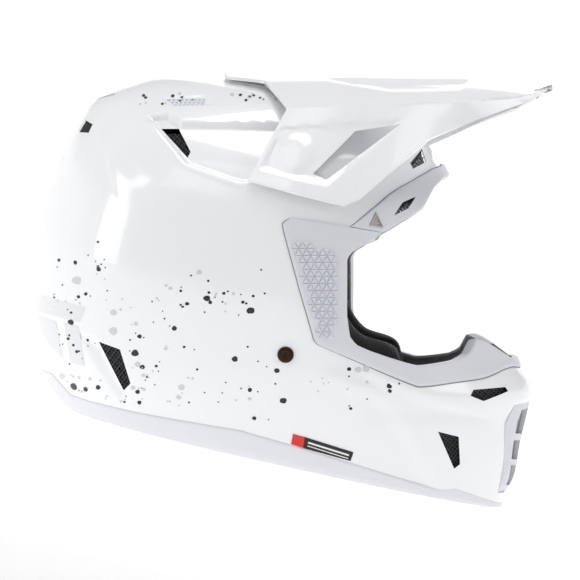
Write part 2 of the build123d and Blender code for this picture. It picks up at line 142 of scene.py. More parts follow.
def natural_spline(knots: np.ndarray, values: np.ndarray, at: np.ndarray) -> np.ndarray:
    """Values of a smooth curve through given rows.

    Args:
        knots: Increasing parameter of each row.
        values: Rows, of shape (knots, columns).
        at: Parameters to read.

    Returns:
        Array of shape (len(at), columns).
    """
    gaps = np.diff(knots)
    count = len(knots)
    matrix = np.eye(count)
    rhs = np.zeros((count, values.shape[1]))
    for i in range(1, count - 1):
        matrix[i, i - 1 : i + 2] = (gaps[i - 1], 2 * (gaps[i - 1] + gaps[i]), gaps[i])
        rise = (values[i + 1] - values[i]) / gaps[i] - (values[i] - values[i - 1]) / gaps[i - 1]
        rhs[i] = 6 * rise
    bend = np.linalg.solve(matrix, rhs)
    cell = np.clip(np.searchsorted(knots, at, side="right") - 1, 0, count - 2)
    width = gaps[cell][:, None]
    left = (knots[cell + 1] - at)[:, None]
    right = (at - knots[cell])[:, None]
    curve = (bend[cell] * left**3 + bend[cell + 1] * right**3) / (6 * width)
    curve += (values[cell] / width - bend[cell] * width / 6) * left
    return curve + (values[cell + 1] / width - bend[cell + 1] * width / 6) * right


def signed_distance(points: np.ndarray, outline: Outline) -> np.ndarray:
    """Distance of 2-D points to an outline, negative inside it."""
    corners = np.array(outline, float)
    nearest = np.full(len(points), 1e9)
    inside = np.zeros(len(points), bool)
    for a, b in zip(corners, np.roll(corners, -1, axis=0)):
        edge = b - a
        share = np.clip(((points - a) @ edge) / (edge @ edge), 0, 1)
        gap = points - (a + share[:, None] * edge)
        nearest = np.minimum(nearest, np.hypot(gap[:, 0], gap[:, 1]))
        crosses = (a[1] > points[:, 1]) != (b[1] > points[:, 1])
        rise = b[1] - a[1] if b[1] != a[1] else 1e-9
        inside ^= crosses & (points[:, 0] < a[0] + (points[:, 1] - a[1]) * edge[0] / rise)
    return np.where(inside, -nearest, nearest)


def line_distance(points: np.ndarray, line: Outline) -> np.ndarray:
    """Distance of 2-D points to an open line, positive on its left."""
    corners = np.array(line, float)
    nearest = np.full(len(points), 1e9)
    sign = np.ones(len(points))
    for a, b in zip(corners[:-1], corners[1:]):
        edge = b - a
        share = np.clip(((points - a) @ edge) / (edge @ edge), 0, 1)
        gap = points - (a + share[:, None] * edge)
        length = np.hypot(gap[:, 0], gap[:, 1])
        cross = edge[0] * (points[:, 1] - a[1]) - edge[1] * (points[:, 0] - a[0])
        closer = length < nearest
        nearest = np.where(closer, length, nearest)
        sign = np.where(closer, np.sign(cross), sign)
    return nearest * sign


def smooth_step(value: np.ndarray, start: float, end: float) -> np.ndarray:
    """Rise from 0 to 1 between start and end with flat ends."""
    share = np.clip((value - start) / (end - start), 0, 1)
    return share * share * (3 - 2 * share)


def resample(points: np.ndarray, count: int) -> np.ndarray:
    """Points spaced evenly along an open line."""
    steps = np.linalg.norm(np.diff(points, axis=0), axis=1)
    along = np.concatenate(([0.0], np.cumsum(steps)))
    at = np.linspace(0, along[-1], count)
    return np.stack([np.interp(at, along, points[:, k]) for k in range(points.shape[1])], 1)


def grid_faces(rows: int, columns: int, wrap: bool = False) -> list[tuple[int, ...]]:
    """Quads of a grid of vertices stored row by row."""
    faces = []
    last = columns if wrap else columns - 1
    for row in range(rows - 1):
        low, high = row * columns, (row + 1) * columns
        for column in range(last):
            beside = (column + 1) % columns
            faces.append((low + column, low + beside, high + beside, high + column))
    return faces


def make_object(
    name: str,
    points: np.ndarray,
    faces: list[tuple[int, ...]],
    material: bpy.types.Material | None = None,
    sharp_angle: float = 40.0,
) -> bpy.types.Object:
    """New mesh object from head-frame points.

    Args:
        name: Object name.
        points: Head-frame points in millimetres.
        faces: Vertex indices of each face.
        material: Finish for the whole piece.
        sharp_angle: Edges that turn more than this many degrees stay crisp.

    Returns:
        The linked object, smooth shaded.
    """
    mesh = bpy.data.meshes.new(name)
    mesh.from_pydata([tuple(p) for p in HeadFrame.to_row(points)], [], faces)
    mesh.validate()
    piece = bpy.data.objects.new(name, mesh)
    bpy.context.scene.collection.objects.link(piece)
    outward(piece)
    shade(piece, sharp_angle)
    if material is not None:
        mesh.materials.append(material)
    return piece


def outward(piece: bpy.types.Object) -> None:
    """Make all faces of a closed mesh face outwards."""
    work = bmesh.new()
    work.from_mesh(piece.data)
    bmesh.ops.recalc_face_normals(work, faces=work.faces)
    work.to_mesh(piece.data)
    work.free()


def shade(piece: bpy.types.Object, sharp_angle: float) -> None:
    """Smooth shading with crisp edges above an angle in degrees."""
    work = bmesh.new()
    work.from_mesh(piece.data)
    limit = math.radians(sharp_angle)
    for face in work.faces:
        face.smooth = True
    for edge in work.edges:
        edge.smooth = len(edge.link_faces) != 2 or edge.calc_face_angle(0.0) < limit
    work.to_mesh(piece.data)
    work.free()


def apply_modifiers(piece: bpy.types.Object) -> None:
    """Replace a piece's mesh by what its modifiers make of it."""
    depsgraph = bpy.context.evaluated_depsgraph_get()
    depsgraph.update()
    made = bpy.data.meshes.new_from_object(piece.evaluated_get(depsgraph))
    piece.modifiers.clear()
    old = piece.data
    piece.data = made
    bpy.data.meshes.remove(old)


def cut_with(piece: bpy.types.Object, cutters: list[bpy.types.Object]) -> None:
    """Subtract closed cutter objects from a piece and delete them."""
    group = bpy.data.collections.new("cutters")
    for cutter in cutters:
        for owner in list(cutter.users_collection):
            owner.objects.unlink(cutter)
        group.objects.link(cutter)
    bpy.context.scene.collection.children.link(group)
    bool_mod = piece.modifiers.new("cut", "BOOLEAN")
    bool_mod.operation = "DIFFERENCE"
    bool_mod.operand_type = "COLLECTION"
    bool_mod.collection = group
    bool_mod.solver = "EXACT"
    apply_modifiers(piece)
    for cutter in cutters:
        bpy.data.objects.remove(cutter)
    bpy.data.collections.remove(group)


def prism(
    outline: Outline, low: np.ndarray, high: np.ndarray, u: np.ndarray, v: np.ndarray
) -> bpy.types.Object:
    """Closed prism between two offsets.

    Args:
        outline: Corners in the plane of u and v.
        low: Offset of the first end.
        high: Offset of the second end.
        u: Axis of the outline's first coordinate.
        v: Axis of its second coordinate.

    Returns:
        The cutter object.
    """
    flat = np.array([a * u + b * v for a, b in outline])
    points = np.concatenate((flat + low, flat + high))
    count = len(outline)
    faces = [tuple(range(count)), tuple(range(2 * count - 1, count - 1, -1))]
    faces += [(i, (i + 1) % count, count + (i + 1) % count, count + i) for i in range(count)]
    return make_object("cutter", points, faces)


def side_prism(outline: Outline, low: float = -200, high: float = 200) -> bpy.types.Object:
    """Prism across the helmet from a side-view outline."""
    x, y, z = np.eye(3)
    return prism(outline, y * low, y * high, x, z)


def front_prism(outline: Outline, low: float, high: float) -> bpy.types.Object:
    """Prism along the helmet from a front-view outline of y and z."""
    x, y, z = np.eye(3)
    return prism(outline, x * low, x * high, y, z)


class HelmetForm:
    """The smooth outer form that shell, trims, screens and decals are laid on."""

    # level, rear, front, half width, x of the widest point
    LEVELS = np.array((
        (-60, -88, 163, 78, 12), (-25, -112, 174, 95, 5), (0, -122, 181, 104, 0),
        (27, -131, 186, 112, -5), (44, -142.5, 190, 115.8, -7.3), (52, -147, 187, 117.3, -8.2),
        (64, -152.2, 180.5, 119, -9.2), (75, -156, 178, 120, -10),
        (110, -159, 167, 123, -12), (150, -154, 153, 121, -12), (185, -145, 136, 113, -12),
        (210, -136, 122, 99, -13), (232, -124, 98, 78, -15), (247, -110, 62, 55, -20),
        (256, -86, 8, 34, -36), (260.6, -66, -34, 11, -49), (261.2, -50, -50, 0, -50),
    ), float)
    SAMPLES = 1500

    def __init__(self) -> None:
        z, rear, front, half, widest = self.LEVELS.T
        rows = np.stack((z, widest, front - widest, widest - rear, half), 1)
        mirror = rows[-3:-1][::-1].copy()
        mirror[:, 2:] *= -1
        rows = np.concatenate((rows, mirror))
        steps = np.hypot(np.diff(rows[:, 0]), np.diff(rows[:, 4]))
        knots = np.concatenate(([0.0], np.cumsum(steps)))
        self.apex = knots[len(self.LEVELS) - 1]
        self.table_u = np.linspace(0, self.apex, self.SAMPLES)
        self.table = natural_spline(knots, rows, self.table_u)
        self.table[:, 0] = np.maximum.accumulate(self.table[:, 0] + np.arange(self.SAMPLES) * 1e-9)

    def level(self, u: np.ndarray) -> tuple[np.ndarray, ...]:
        """Height, widest x, front reach, rear reach and half width at a parameter."""
        return tuple(np.interp(u, self.table_u, self.table[:, k]) for k in range(5))

    def u_of(self, z: np.ndarray) -> np.ndarray:
        """Parameter of a height."""
        return np.interp(z, self.table[:, 0], self.table_u)

    def surface(self, angle: np.ndarray, u: np.ndarray) -> np.ndarray:
        """Points of the form.

        Args:
            angle: 0 at the front, growing towards the wearer's left.
            u: Parameter of the height.

        Returns:
            Head-frame points of shape (n, 3).
        """
        z, widest, front, rear, half = self.level(u)
        cosine, sine = np.cos(angle), np.sin(angle)
        power = 2 / SQUARENESS
        reach = np.where(cosine >= 0, front, rear)
        x = widest + reach * np.sign(cosine) * np.abs(cosine) ** power
        y = half * np.sign(sine) * np.abs(sine) ** power
        return np.stack((x, y, z), 1)

    def normal(self, angle: np.ndarray, u: np.ndarray) -> np.ndarray:
        """Outward unit normals of the form."""
        step = 2e-3
        low = np.maximum(u - 1.0, 0)
        high = np.minimum(u + 1.0, self.apex - 0.3)
        low = np.minimum(low, high - 0.5)
        round_ = self.surface(angle + step, u) - self.surface(angle - step, u)
        rise = self.surface(angle, high) - self.surface(angle, low)
        normal = np.cross(round_, rise)
        length = np.linalg.norm(normal, axis=1, keepdims=True)
        up = np.array((0.0, 0.0, 1.0))
        return np.where(length > 1e-7, normal / np.maximum(length, 1e-7), up)

    def lifted(self, angle: np.ndarray, u: np.ndarray, lift: np.ndarray | float) -> np.ndarray:
        """Points that stand lift off the form."""
        return self.surface(angle, u) + self.normal(angle, u) * np.reshape(lift, (-1, 1))

    def angle_at(self, x: np.ndarray, z: np.ndarray, side: Side = Side.RIGHT) -> np.ndarray:
        """Angle of the point of one side that a side view shows at x and z."""
        _, widest, front, rear, _ = self.level(self.u_of(z))
        reach = np.where(x >= widest, front, rear)
        share = np.clip((x - widest) / np.maximum(reach, 1e-6), -1, 1)
        cosine = np.sign(share) * np.abs(share) ** (SQUARENESS / 2)
        return side.value * np.arccos(cosine)

    def on_side(self, points: np.ndarray, lift: np.ndarray | float, side: Side) -> np.ndarray:
        """Side-view points laid on one side of the form."""
        points = np.asarray(points, float)
        angle = self.angle_at(points[:, 0], points[:, 1], side)
        return self.lifted(angle, self.u_of(points[:, 1]), lift)


FORM = HelmetForm()


# ---------------------------------------------------------------- finishes


def linear(hex_colour: str) -> tuple[float, float, float, float]:
    """Linear colour of an sRGB hex value such as #C8CAD0."""
    channels = [int(hex_colour[i : i + 2], 16) / 255 for i in (1, 3, 5)]
    turned = [c / 12.92 if c <= 0.04045 else ((c + 0.055) / 1.055) ** 2.4 for c in channels]
    return (*turned, 1.0)


def node(
    tree: bpy.types.NodeTree, kind: str, settings: dict | None = None, **links: object
) -> bpy.types.Node:
    """Add a shader node.

    Args:
        tree: Node tree of the material.
        kind: Blender's node type.
        settings: Values for the node's own properties and, by input name, for its sockets.
        **links: Output sockets to connect, by input name with spaces as underscores.

    Returns:
        The new node.
    """
    made = tree.nodes.new(kind)
    for name, value in (settings or {}).items():
        if name in made.inputs:
            made.inputs[name].default_value = value
        else:
            setattr(made, name, value)
    for name, source in links.items():
        tree.links.new(source, made.inputs[name.replace("_", " ")])
    return made


@dataclass(frozen=True)
class Finish:
    """A surface finish, from the real material and how its surface was made."""

    name: str
    colour: str
    second: str
    rough: float
    ior: float = 1.5
    metal: float = 0.0
    coat: float = 0.0
    sheen: float = 0.0
    grain_mm: float = 0.8
    grain_depth: float = 0.05
    blotch: float = 0.25

    def shader(self, tree: bpy.types.NodeTree) -> bpy.types.Node:
        """The principled shader with this finish's own constants."""
        shader = tree.nodes["Principled BSDF"]
        shader.inputs["Metallic"].default_value = self.metal
        shader.inputs["IOR"].default_value = self.ior
        shader.inputs["Coat Weight"].default_value = self.coat
        shader.inputs["Coat Roughness"].default_value = 0.04
        shader.inputs["Sheen Weight"].default_value = self.sheen
        shader.inputs["Sheen Roughness"].default_value = 0.45
        return shader

    def colours(self, tree: bpy.types.NodeTree, where: bpy.types.NodeSocket) -> bpy.types.NodeSocket:
        """Base colour that drifts slowly between the finish's two colours."""
        cloud = node(tree, "ShaderNodeTexNoise", {"Scale": 26.0, "Detail": 3.0}, Vector=where)
        ramp = node(tree, "ShaderNodeMapRange", {"To Max": self.blotch}, Value=cloud.outputs["Fac"])
        mix = node(tree, "ShaderNodeMix", {"data_type": "RGBA"}, Factor=ramp.outputs["Result"])
        mix.inputs[6].default_value = linear(self.colour)
        mix.inputs[7].default_value = linear(self.second)
        return mix.outputs[2]

    def height(self, tree: bpy.types.NodeTree, where: bpy.types.NodeSocket) -> bpy.types.NodeSocket:
        """Relief of the surface, as moulded or sprayed."""
        scale = 1000.0 / self.grain_mm
        grain = node(tree, "ShaderNodeTexNoise", {"Scale": scale, "Detail": 2.0}, Vector=where)
        return grain.outputs["Fac"]

    def make(self) -> bpy.types.Material:
        """Build the material, once for each name."""
        ready = bpy.data.materials.get(self.name)
        if ready is not None:
            return ready
        material = bpy.data.materials.new(self.name)
        material.use_nodes = True
        tree = material.node_tree
        shader = self.shader(tree)
        where = node(tree, "ShaderNodeTexCoord").outputs["Object"]
        tree.links.new(self.colours(tree, where), shader.inputs["Base Color"])
        height = self.height(tree, where)
        spread = {"To Min": self.rough * 0.85, "To Max": self.rough * 1.2}
        rough = node(tree, "ShaderNodeMapRange", spread, Value=height)
        tree.links.new(rough.outputs["Result"], shader.inputs["Roughness"])
        depth = {"Strength": 1.0, "Distance": self.grain_depth * MM}
        bump = node(tree, "ShaderNodeBump", depth, Height=height)
        tree.links.new(bump.outputs["Normal"], shader.inputs["Normal"])
        material.diffuse_color = linear(self.colour)
        return material


@dataclass(frozen=True)
class WovenFinish(Finish):
    """Cloth, webbing or wire: two families of threads that cross."""

    thread_mm: float = 1.2
    turn: float = 0.6

    def height(self, tree: bpy.types.NodeTree, where: bpy.types.NodeSocket) -> bpy.types.NodeSocket:
        """Over and under relief from two crossed wave patterns."""
        scale = 1000.0 / self.thread_mm / ALL_ROUND * 2
        spun = {"Rotation": (0.3, self.turn, 0.2), "Scale": (1.0, 1.0, 1.0)}
        turned = node(tree, "ShaderNodeMapping", spun, Vector=where)
        families = []
        for direction in ("X", "Z"):
            wave = {"bands_direction": direction, "Scale": scale, "Distortion": 0.6, "Detail": 1.0}
            families.append(node(tree, "ShaderNodeTexWave", wave, Vector=turned.outputs["Vector"]))
        product = node(tree, "ShaderNodeMath", {"operation": "MULTIPLY"})
        for index, wave in enumerate(families):
            tree.links.new(wave.outputs["Fac"], product.inputs[index])
        return product.outputs["Value"]


@dataclass(frozen=True)
class BeadFinish(Finish):
    """Expanded foam: closed beads that were steamed together."""

    bead_mm: float = 4.0

    def height(self, tree: bpy.types.NodeTree, where: bpy.types.NodeSocket) -> bpy.types.NodeSocket:
        """Domed cells with thin grooves between them."""
        cells = {"feature": "DISTANCE_TO_EDGE", "Scale": 1000.0 / self.bead_mm}
        beads = node(tree, "ShaderNodeTexVoronoi", cells, Vector=where)
        dome = node(tree, "ShaderNodeMapRange", {"From Max": 0.25}, Value=beads.outputs["Distance"])
        return dome.outputs["Result"]


@dataclass(frozen=True)
class BrushedFinish(Finish):
    """Metal brushed one way, so that it streaks."""

    def height(self, tree: bpy.types.NodeTree, where: bpy.types.NodeSocket) -> bpy.types.NodeSocket:
        """Long thin scratches."""
        stretch = node(tree, "ShaderNodeMapping", {"Scale": (0.05, 1.0, 1.0)}, Vector=where)
        lines = {"Scale": 1000.0 / self.grain_mm, "Detail": 4.0}
        return node(tree, "ShaderNodeTexNoise", lines, Vector=stretch.outputs["Vector"]).outputs["Fac"]


@dataclass(frozen=True)
class LightTable(Finish):
    """Opal card lit from behind, brighter towards the far side of the set."""

    near_glow: float = 0.1
    far_glow: float = 0.74
    rim: float = 0.25
    window: tuple[float, float, float] = (-0.3, 7.0, 0.4)

    def shader(self, tree: bpy.types.NodeTree) -> bpy.types.Node:
        """The principled shader with a glow that follows the set's Y."""
        shader = super().shader(tree)
        where = node(tree, "ShaderNodeTexCoord").outputs["Object"]
        split = node(tree, "ShaderNodeSeparateXYZ", Vector=where)
        reach = {"From Min": -2.6, "From Max": 0.2, "To Min": self.near_glow, "To Max": self.far_glow}
        glow = node(tree, "ShaderNodeMapRange", reach, Value=split.outputs["Y"])
        window = node(tree, "ShaderNodeVectorMath", {"operation": "DISTANCE"})
        tree.links.new(where, window.inputs[0])
        window.inputs[1].default_value = self.window
        fall = {"From Min": 1.6, "From Max": 3.4, "To Min": 1.0, "To Max": self.rim}
        dimmer = node(tree, "ShaderNodeMapRange", fall, Value=window.outputs["Value"])
        wall = {"From Min": 1.2, "From Max": 2.6, "To Min": 1.0, "To Max": 0.0}
        low = node(tree, "ShaderNodeMapRange", wall, Value=split.outputs["Z"])
        keep = node(tree, "ShaderNodeMath", {"operation": "MAXIMUM"})
        tree.links.new(dimmer.outputs["Result"], keep.inputs[0])
        tree.links.new(low.outputs["Result"], keep.inputs[1])
        strength = node(tree, "ShaderNodeMath", {"operation": "MULTIPLY"})
        tree.links.new(glow.outputs["Result"], strength.inputs[0])
        tree.links.new(keep.outputs["Value"], strength.inputs[1])
        shader.inputs["Emission Color"].default_value = linear("#FFFFFF")
        tree.links.new(strength.outputs["Value"], shader.inputs["Emission Strength"])
        return shader


# Glass-fibre shell under sprayed white and clear lacquer: deep gloss with a faint orange peel.
LACQUER = Finish("lacquered_shell", "#F6F7F9", "#EEF0F4", 0.22, coat=1.0, grain_mm=9.0, grain_depth=0.012)
# Injection-moulded ABS peak, lacquered like the shell but with a slightly tighter surface.
PEAK_ABS = Finish("lacquered_abs", "#F7F8FA", "#EFF1F4", 0.2, coat=1.0, grain_mm=7.0, grain_depth=0.01)
# Moulded thermoplastic rubber round the eyeport: pale grey, satin, fine spark-eroded grain.
TRIM = Finish("moulded_trim", "#DCDDE3", "#D5D7DE", 0.38, grain_mm=0.5, grain_depth=0.02)
TRIM_RELIEF = Finish("moulded_relief", "#D6D8DF", "#CDCFD8", 0.3, grain_mm=0.5, grain_depth=0.015)
# Painted shadow: a dark grey line standing in for the shade in the narrow joint between trim and shell.
PAINTED_JOINT_SHADOW = Finish("painted_joint_shadow", "#8E9199", "#83868E", 0.7, grain_mm=0.5, grain_depth=0.01)
# Softer extruded edge roll, a shade lighter than the trims.
EDGE_ROLL = Finish("edge_roll_rubber", "#E9EAEE", "#E1E3E8", 0.42, grain_mm=0.7, grain_depth=0.03)
# Polypropylene vent mesh, black, catching light along each strand.
MESH = Finish("moulded_mesh", "#2C2D2F", "#3C3E41", 0.3, grain_mm=0.4, grain_depth=0.01)
VENT_DARK = Finish("vent_backing", "#0B0B0C", "#121213", 0.7, grain_mm=1.0, grain_depth=0.05)
# Brushed wicking polyester over foam: matt black with a soft edge sheen.
LINING = WovenFinish(
    "wicking_knit", "#060607", "#0C0C0E", 0.85, sheen=0.12, thread_mm=2.0, grain_depth=0.25
)
# Expanded polystyrene, moulded black, with visible beads.
FOAM = BeadFinish("expanded_foam", "#0B0C0D", "#131416", 0.75, grain_depth=0.2)
# Nylon webbing, drawn with threads coarse enough to show.
WEBBING = WovenFinish(
    "nylon_webbing", "#101113", "#1B1C1F", 0.6, sheen=0.2, thread_mm=1.6, turn=0.0,
    grain_depth=0.3
)
STEEL = BrushedFinish(
    "polished_steel", "#C9CACC", "#B9BABD", 0.14, metal=1.0, grain_mm=0.5, grain_depth=0.004
)
# Coined brass with a dark bronze bath; its colour drifts in blotches between brighter and darker bronze.
BRONZE = Finish(
    "dark_bronze", "#4A3A2A", "#231B14", 0.34, metal=1.0, grain_mm=0.9, grain_depth=0.05,
    blotch=0.9
)
BADGE = BrushedFinish(
    "brushed_aluminium", "#A7A29B", "#8B867E", 0.28, metal=1.0, grain_mm=0.4, grain_depth=0.01
)
FILM_BLACK = Finish(
    "printed_film_black", "#050506", "#09090A", 0.4, coat=0.1, grain_mm=2.0, grain_depth=0.004
)
FILM_RED = Finish(
    "printed_film_red", "#E02A14", "#D42410", 0.4, coat=0.1, grain_mm=2.0, grain_depth=0.004
)
FILM_WHITE = Finish(
    "printed_film_white", "#EDEDED", "#E2E2E2", 0.4, coat=0.1, grain_mm=2.0, grain_depth=0.004
)
INK_DARK = Finish("ink_navy", "#08090D", "#0E1016", 0.3, coat=0.3, grain_mm=6.0, grain_depth=0.004)
INK_GREY = Finish("ink_grey", "#D2D4D7", "#C9CBCF", 0.25, coat=1.0, grain_mm=6.0, grain_depth=0.004)
INK_PALE = Finish("ink_pale", "#E6E7EA", "#E0E1E5", 0.25, coat=1.0, grain_mm=6.0, grain_depth=0.004)
INK_STEEL = Finish(
    "ink_steel_blue", "#B9C4DA", "#AEBAD2", 0.3, coat=0.3, grain_mm=6.0, grain_depth=0.004
)
# Saturated glossy blue for a thin sliver laid along the crown's top edge.
CROWN_BLUE = Finish("crown_blue", "#3E9BD6", "#2F8CC9", 0.25, coat=1.0, grain_mm=6.0, grain_depth=0.004)
TAB = WovenFinish("orange_tab", "#D9590F", "#C04A08", 0.7, sheen=0.3, thread_mm=1.4, grain_depth=0.2)
NYLON = Finish("moulded_nylon", "#1A1B1D", "#232427", 0.5, grain_mm=0.6, grain_depth=0.02)


# ---------------------------------------------------------------- sub-assemblies


@dataclass
class OuterShell:
    """White outer shell with its channels, troughs, creases and vent holes."""

    columns: int = 400
    rows: int = 215
    inner_rows: int = 36
    wall: float = 2.8
    channel_depth: float = 4.0
    trough: Outline = ((-117, 84), (-101, 80), (-84, 45), (-87, 38), (-98, 52), (-112, 74))
    panel: Outline = ((-62, 245), (-34, 247), (-26, 239.5), (-56, 239))
    jaw_line: Outline = ((27, 60), (60, 50), (84, 42), (97, 27), (125, -20))
    chin_line: Outline = ((69, 60), (100, 46), (127, 34), (146, 30))
    crown_line: Outline = ((-104, 226), (-94, 195), (-84, 168))

    def relief(self, x: np.ndarray, z: np.ndarray) -> np.ndarray:
        """Height of the pressed features above the plain form, by side-view place."""
        at = np.stack((x, z), 1)
        channel = smooth_step(-signed_distance(at, CHANNEL), 0.0, 3.2)
        lip = np.exp(-((signed_distance(at, CHANNEL) - 1.5) / 1.8) ** 2) * (z < 228)
        trough = smooth_step(-signed_distance(at, self.trough), -1.5, 6.0)
        panel = smooth_step(-signed_distance(at, self.panel), -0.5, 1.2)
        jaw = smooth_step(line_distance(at, self.jaw_line), -7.0, 5.0)
        jaw *= smooth_step(x, 20, 60) * smooth_step(-z, -66, -40)
        chin = smooth_step(-line_distance(at, self.chin_line), -5.0, 4.0)
        chin *= smooth_step(x, 62, 90) * (1 - smooth_step(x, 150, 168)) * smooth_step(z, 20, 34)
        fold = line_distance(at, self.crown_line)
        crown = smooth_step(fold, -5.0, 0.0) * (1 - smooth_step(fold, 0.0, 16.0))
        crown *= smooth_step(z, 165, 190) * (1 - smooth_step(z, 212, 228)) * 1.0
        lowered = -self.channel_depth * channel - 2.6 * trough - 0.7 * panel
        return lowered + 0.7 * lip - 1.4 * chin + 1.5 * jaw + crown

    def seam_u(self, angles: np.ndarray) -> np.ndarray:
        """Parameter of the lower seam at each angle."""
        heights = np.array(SEAM)
        z = np.zeros(len(angles))
        for _ in range(30):
            x = FORM.surface(angles, FORM.u_of(z))[:, 0]
            lift = np.interp(x, heights[:, 0], heights[:, 1])
            z = 0.5 * z + 0.5 * ground_z(x, lift)
        return FORM.u_of(z)

    def wall_grid(self, rows: int, lift: float, detailed: bool) -> np.ndarray:
        """Rings of points from the seam to the crown."""
        angles = np.linspace(0, ALL_ROUND, self.columns, endpoint=False)
        start = self.seam_u(angles)
        rings = []
        for share in np.linspace(0, 1, rows)[:-1]:
            u = start + (FORM.apex - 0.4 - start) * share
            height = np.full(self.columns, lift)
            if detailed or lift < 0:
                flat = FORM.surface(angles, u)
                height = height + self.relief(flat[:, 0], flat[:, 2])
            rings.append(FORM.lifted(angles, u, height))
        return np.concatenate(rings)

    def cutters(self) -> list[bpy.types.Object]:
        """Prisms for the eyeport, the vents and the mouth."""
        made = [side_prism(EYEPORT)]
        made += [side_prism(points) for points in SIDE_VENTS.values()]
        for sign in (-1, 1):
            slot = tuple((sign * y, z) for y, z in REAR_EXHAUST)
            made.append(front_prism(slot, -200, -60))
        mouth = MOUTH_GRILLE + tuple((-y, z) for y, z in MOUTH_GRILLE[-2:0:-1])
        made.append(front_prism(mouth, 100, 260))
        return made

    def build(self) -> bpy.types.Object:
        """The shell as one closed mesh."""
        outer = self.wall_grid(self.rows, 0.0, True)
        inner = self.wall_grid(self.inner_rows, -self.wall, False)
        top = FORM.surface(np.array((0.0,)), np.array((FORM.apex,)))
        points = np.concatenate((outer, inner, top, top - (0, 0, self.wall)))
        count = self.columns
        faces = grid_faces(self.rows - 1, count, wrap=True)
        shift = len(outer)
        inner_faces = grid_faces(self.inner_rows - 1, count, wrap=True)
        faces += [tuple(i + shift for i in reversed(face)) for face in inner_faces]
        faces += [((c + 1) % count, c, shift + c, shift + (c + 1) % count) for c in range(count)]
        apex = len(outer) + len(inner)
        last, last_in = shift - count, apex - count
        faces += [(last + c, last + (c + 1) % count, apex) for c in range(count)]
        faces += [(last_in + (c + 1) % count, last_in + c, apex + 1) for c in range(count)]
        shell = make_object("shell", points, faces, LACQUER.make())
        cut_with(shell, self.cutters())
        shade(shell, 38)
        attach(shell, "helmet_shell")
        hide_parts("outer_shell")
        return shell


@dataclass
class RimStrip:
    """A moulded band laid on the form between two rails, wrapping into the opening."""

    name: str
    node_name: str
    stations: tuple[tuple[tuple[float, float], tuple[float, float]], ...]
    front: tuple[float, float]
    proud: float = 2.0
    wrap: float = 7.0
    steps: int = 9

    def rails(self) -> tuple[np.ndarray, np.ndarray]:
        """Both rails as angle and height, from the right end round the front to the left end."""
        rails = []
        for which in (0, 1):
            side = np.array([pair[which] for pair in self.stations], float)
            angle = FORM.angle_at(side[:, 0], side[:, 1], Side.RIGHT)
            half = np.stack((angle, side[:, 1]), 1)
            half = np.concatenate((half, [(0.0, self.front[which])]))
            other = half[-2::-1].copy()
            other[:, 0] *= -1
            full = np.concatenate((half, other))
            knots = np.arange(len(full), dtype=float)
            fine = np.linspace(0, len(full) - 1, (len(full) - 1) * self.steps + 1)
            straight = np.stack([np.interp(fine, knots, full[:, k]) for k in (0, 1)], 1)
            curved = natural_spline(knots, full, fine)
            rails.append(0.65 * straight + 0.35 * curved)
        return rails[0], rails[1]

    def profile(self, width: np.ndarray) -> list[tuple[np.ndarray, float]]:
        """Cross-section: share of the way to the inner rail, and lift, from the outer edge in."""
        rise = ((0.0, -0.6), (0.0, 0.5), (0.25, 1.2), (0.9, 1.75), (1.8, 2.0))
        section = [(at / width, lift / 2.0 * self.proud) for at, lift in rise]
        for share in (0.3, 0.5, 0.7):
            section.append((np.full_like(width, share), self.proud))
        for back, lift in ((2.2, 2.0), (1.1, 1.9), (0.35, 1.3), (0.0, 0.4)):
            section.append((1 - back / width, lift / 2.0 * self.proud))
        for drop in (-1.5, -4.0, -self.wrap):
            section.append((1 + 0.2 / width, drop))
        section.append((1 - 1.6 / width, -self.wrap))
        section.append((1 - 1.6 / width, -1.2))
        section.append((0.5 + 0.0 * width, -0.6))
        return section

    def build(self) -> bpy.types.Object:
        """The band as one closed mesh."""
        outer, inner = self.rails()
        a = FORM.surface(outer[:, 0], FORM.u_of(outer[:, 1]))
        b = FORM.surface(inner[:, 0], FORM.u_of(inner[:, 1]))
        width = np.maximum(np.linalg.norm(a - b, axis=1), 5.0)
        lines = []
        for share, lift in self.profile(width):
            at = outer + (inner - outer) * np.clip(share, -0.2, 1.2)[:, None]
            lines.append(FORM.lifted(at[:, 0], FORM.u_of(at[:, 1]), lift))
        points = np.stack(lines, 1)
        count, ring = points.shape[:2]
        faces = grid_faces(count, ring, wrap=True)
        faces += [tuple(range(ring)), tuple(range(count * ring - 1, (count - 1) * ring - 1, -1))]
        self.build_gap(outer, inner, width)
        strip = make_object(self.name, points.reshape(-1, 3), faces, TRIM.make(), 50)
        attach(strip, "helmet_shell")
        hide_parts(self.node_name)
        return strip


    def build_gap(self, outer: np.ndarray, inner: np.ndarray, width: np.ndarray) -> None:
        """Thin shadow line where the band meets the shell.

        Args:
            outer: Outer rail, angle and height.
            inner: Inner rail, angle and height.
            width: Distance between the rails in millimetres.
        """
        lines = []
        for shift in (-0.7, 0.35):
            at = outer + (inner - outer) * (shift / width)[:, None]
            u = FORM.u_of(at[:, 1])
            flat = FORM.surface(at[:, 0], u)
            lift = OuterShell().relief(flat[:, 0], flat[:, 2]) + 0.14
            lines.append(FORM.lifted(at[:, 0], u, lift))
        points = np.stack(lines, 1)
        faces = grid_faces(len(outer), 2)
        # Painted shadow: the strip's dark grey stands in for the shade in the joint.
        gap = make_object(f"{self.name}_gap", points.reshape(-1, 3), faces, PAINTED_JOINT_SHADOW.make(), 60)
        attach(gap, "helmet_shell")


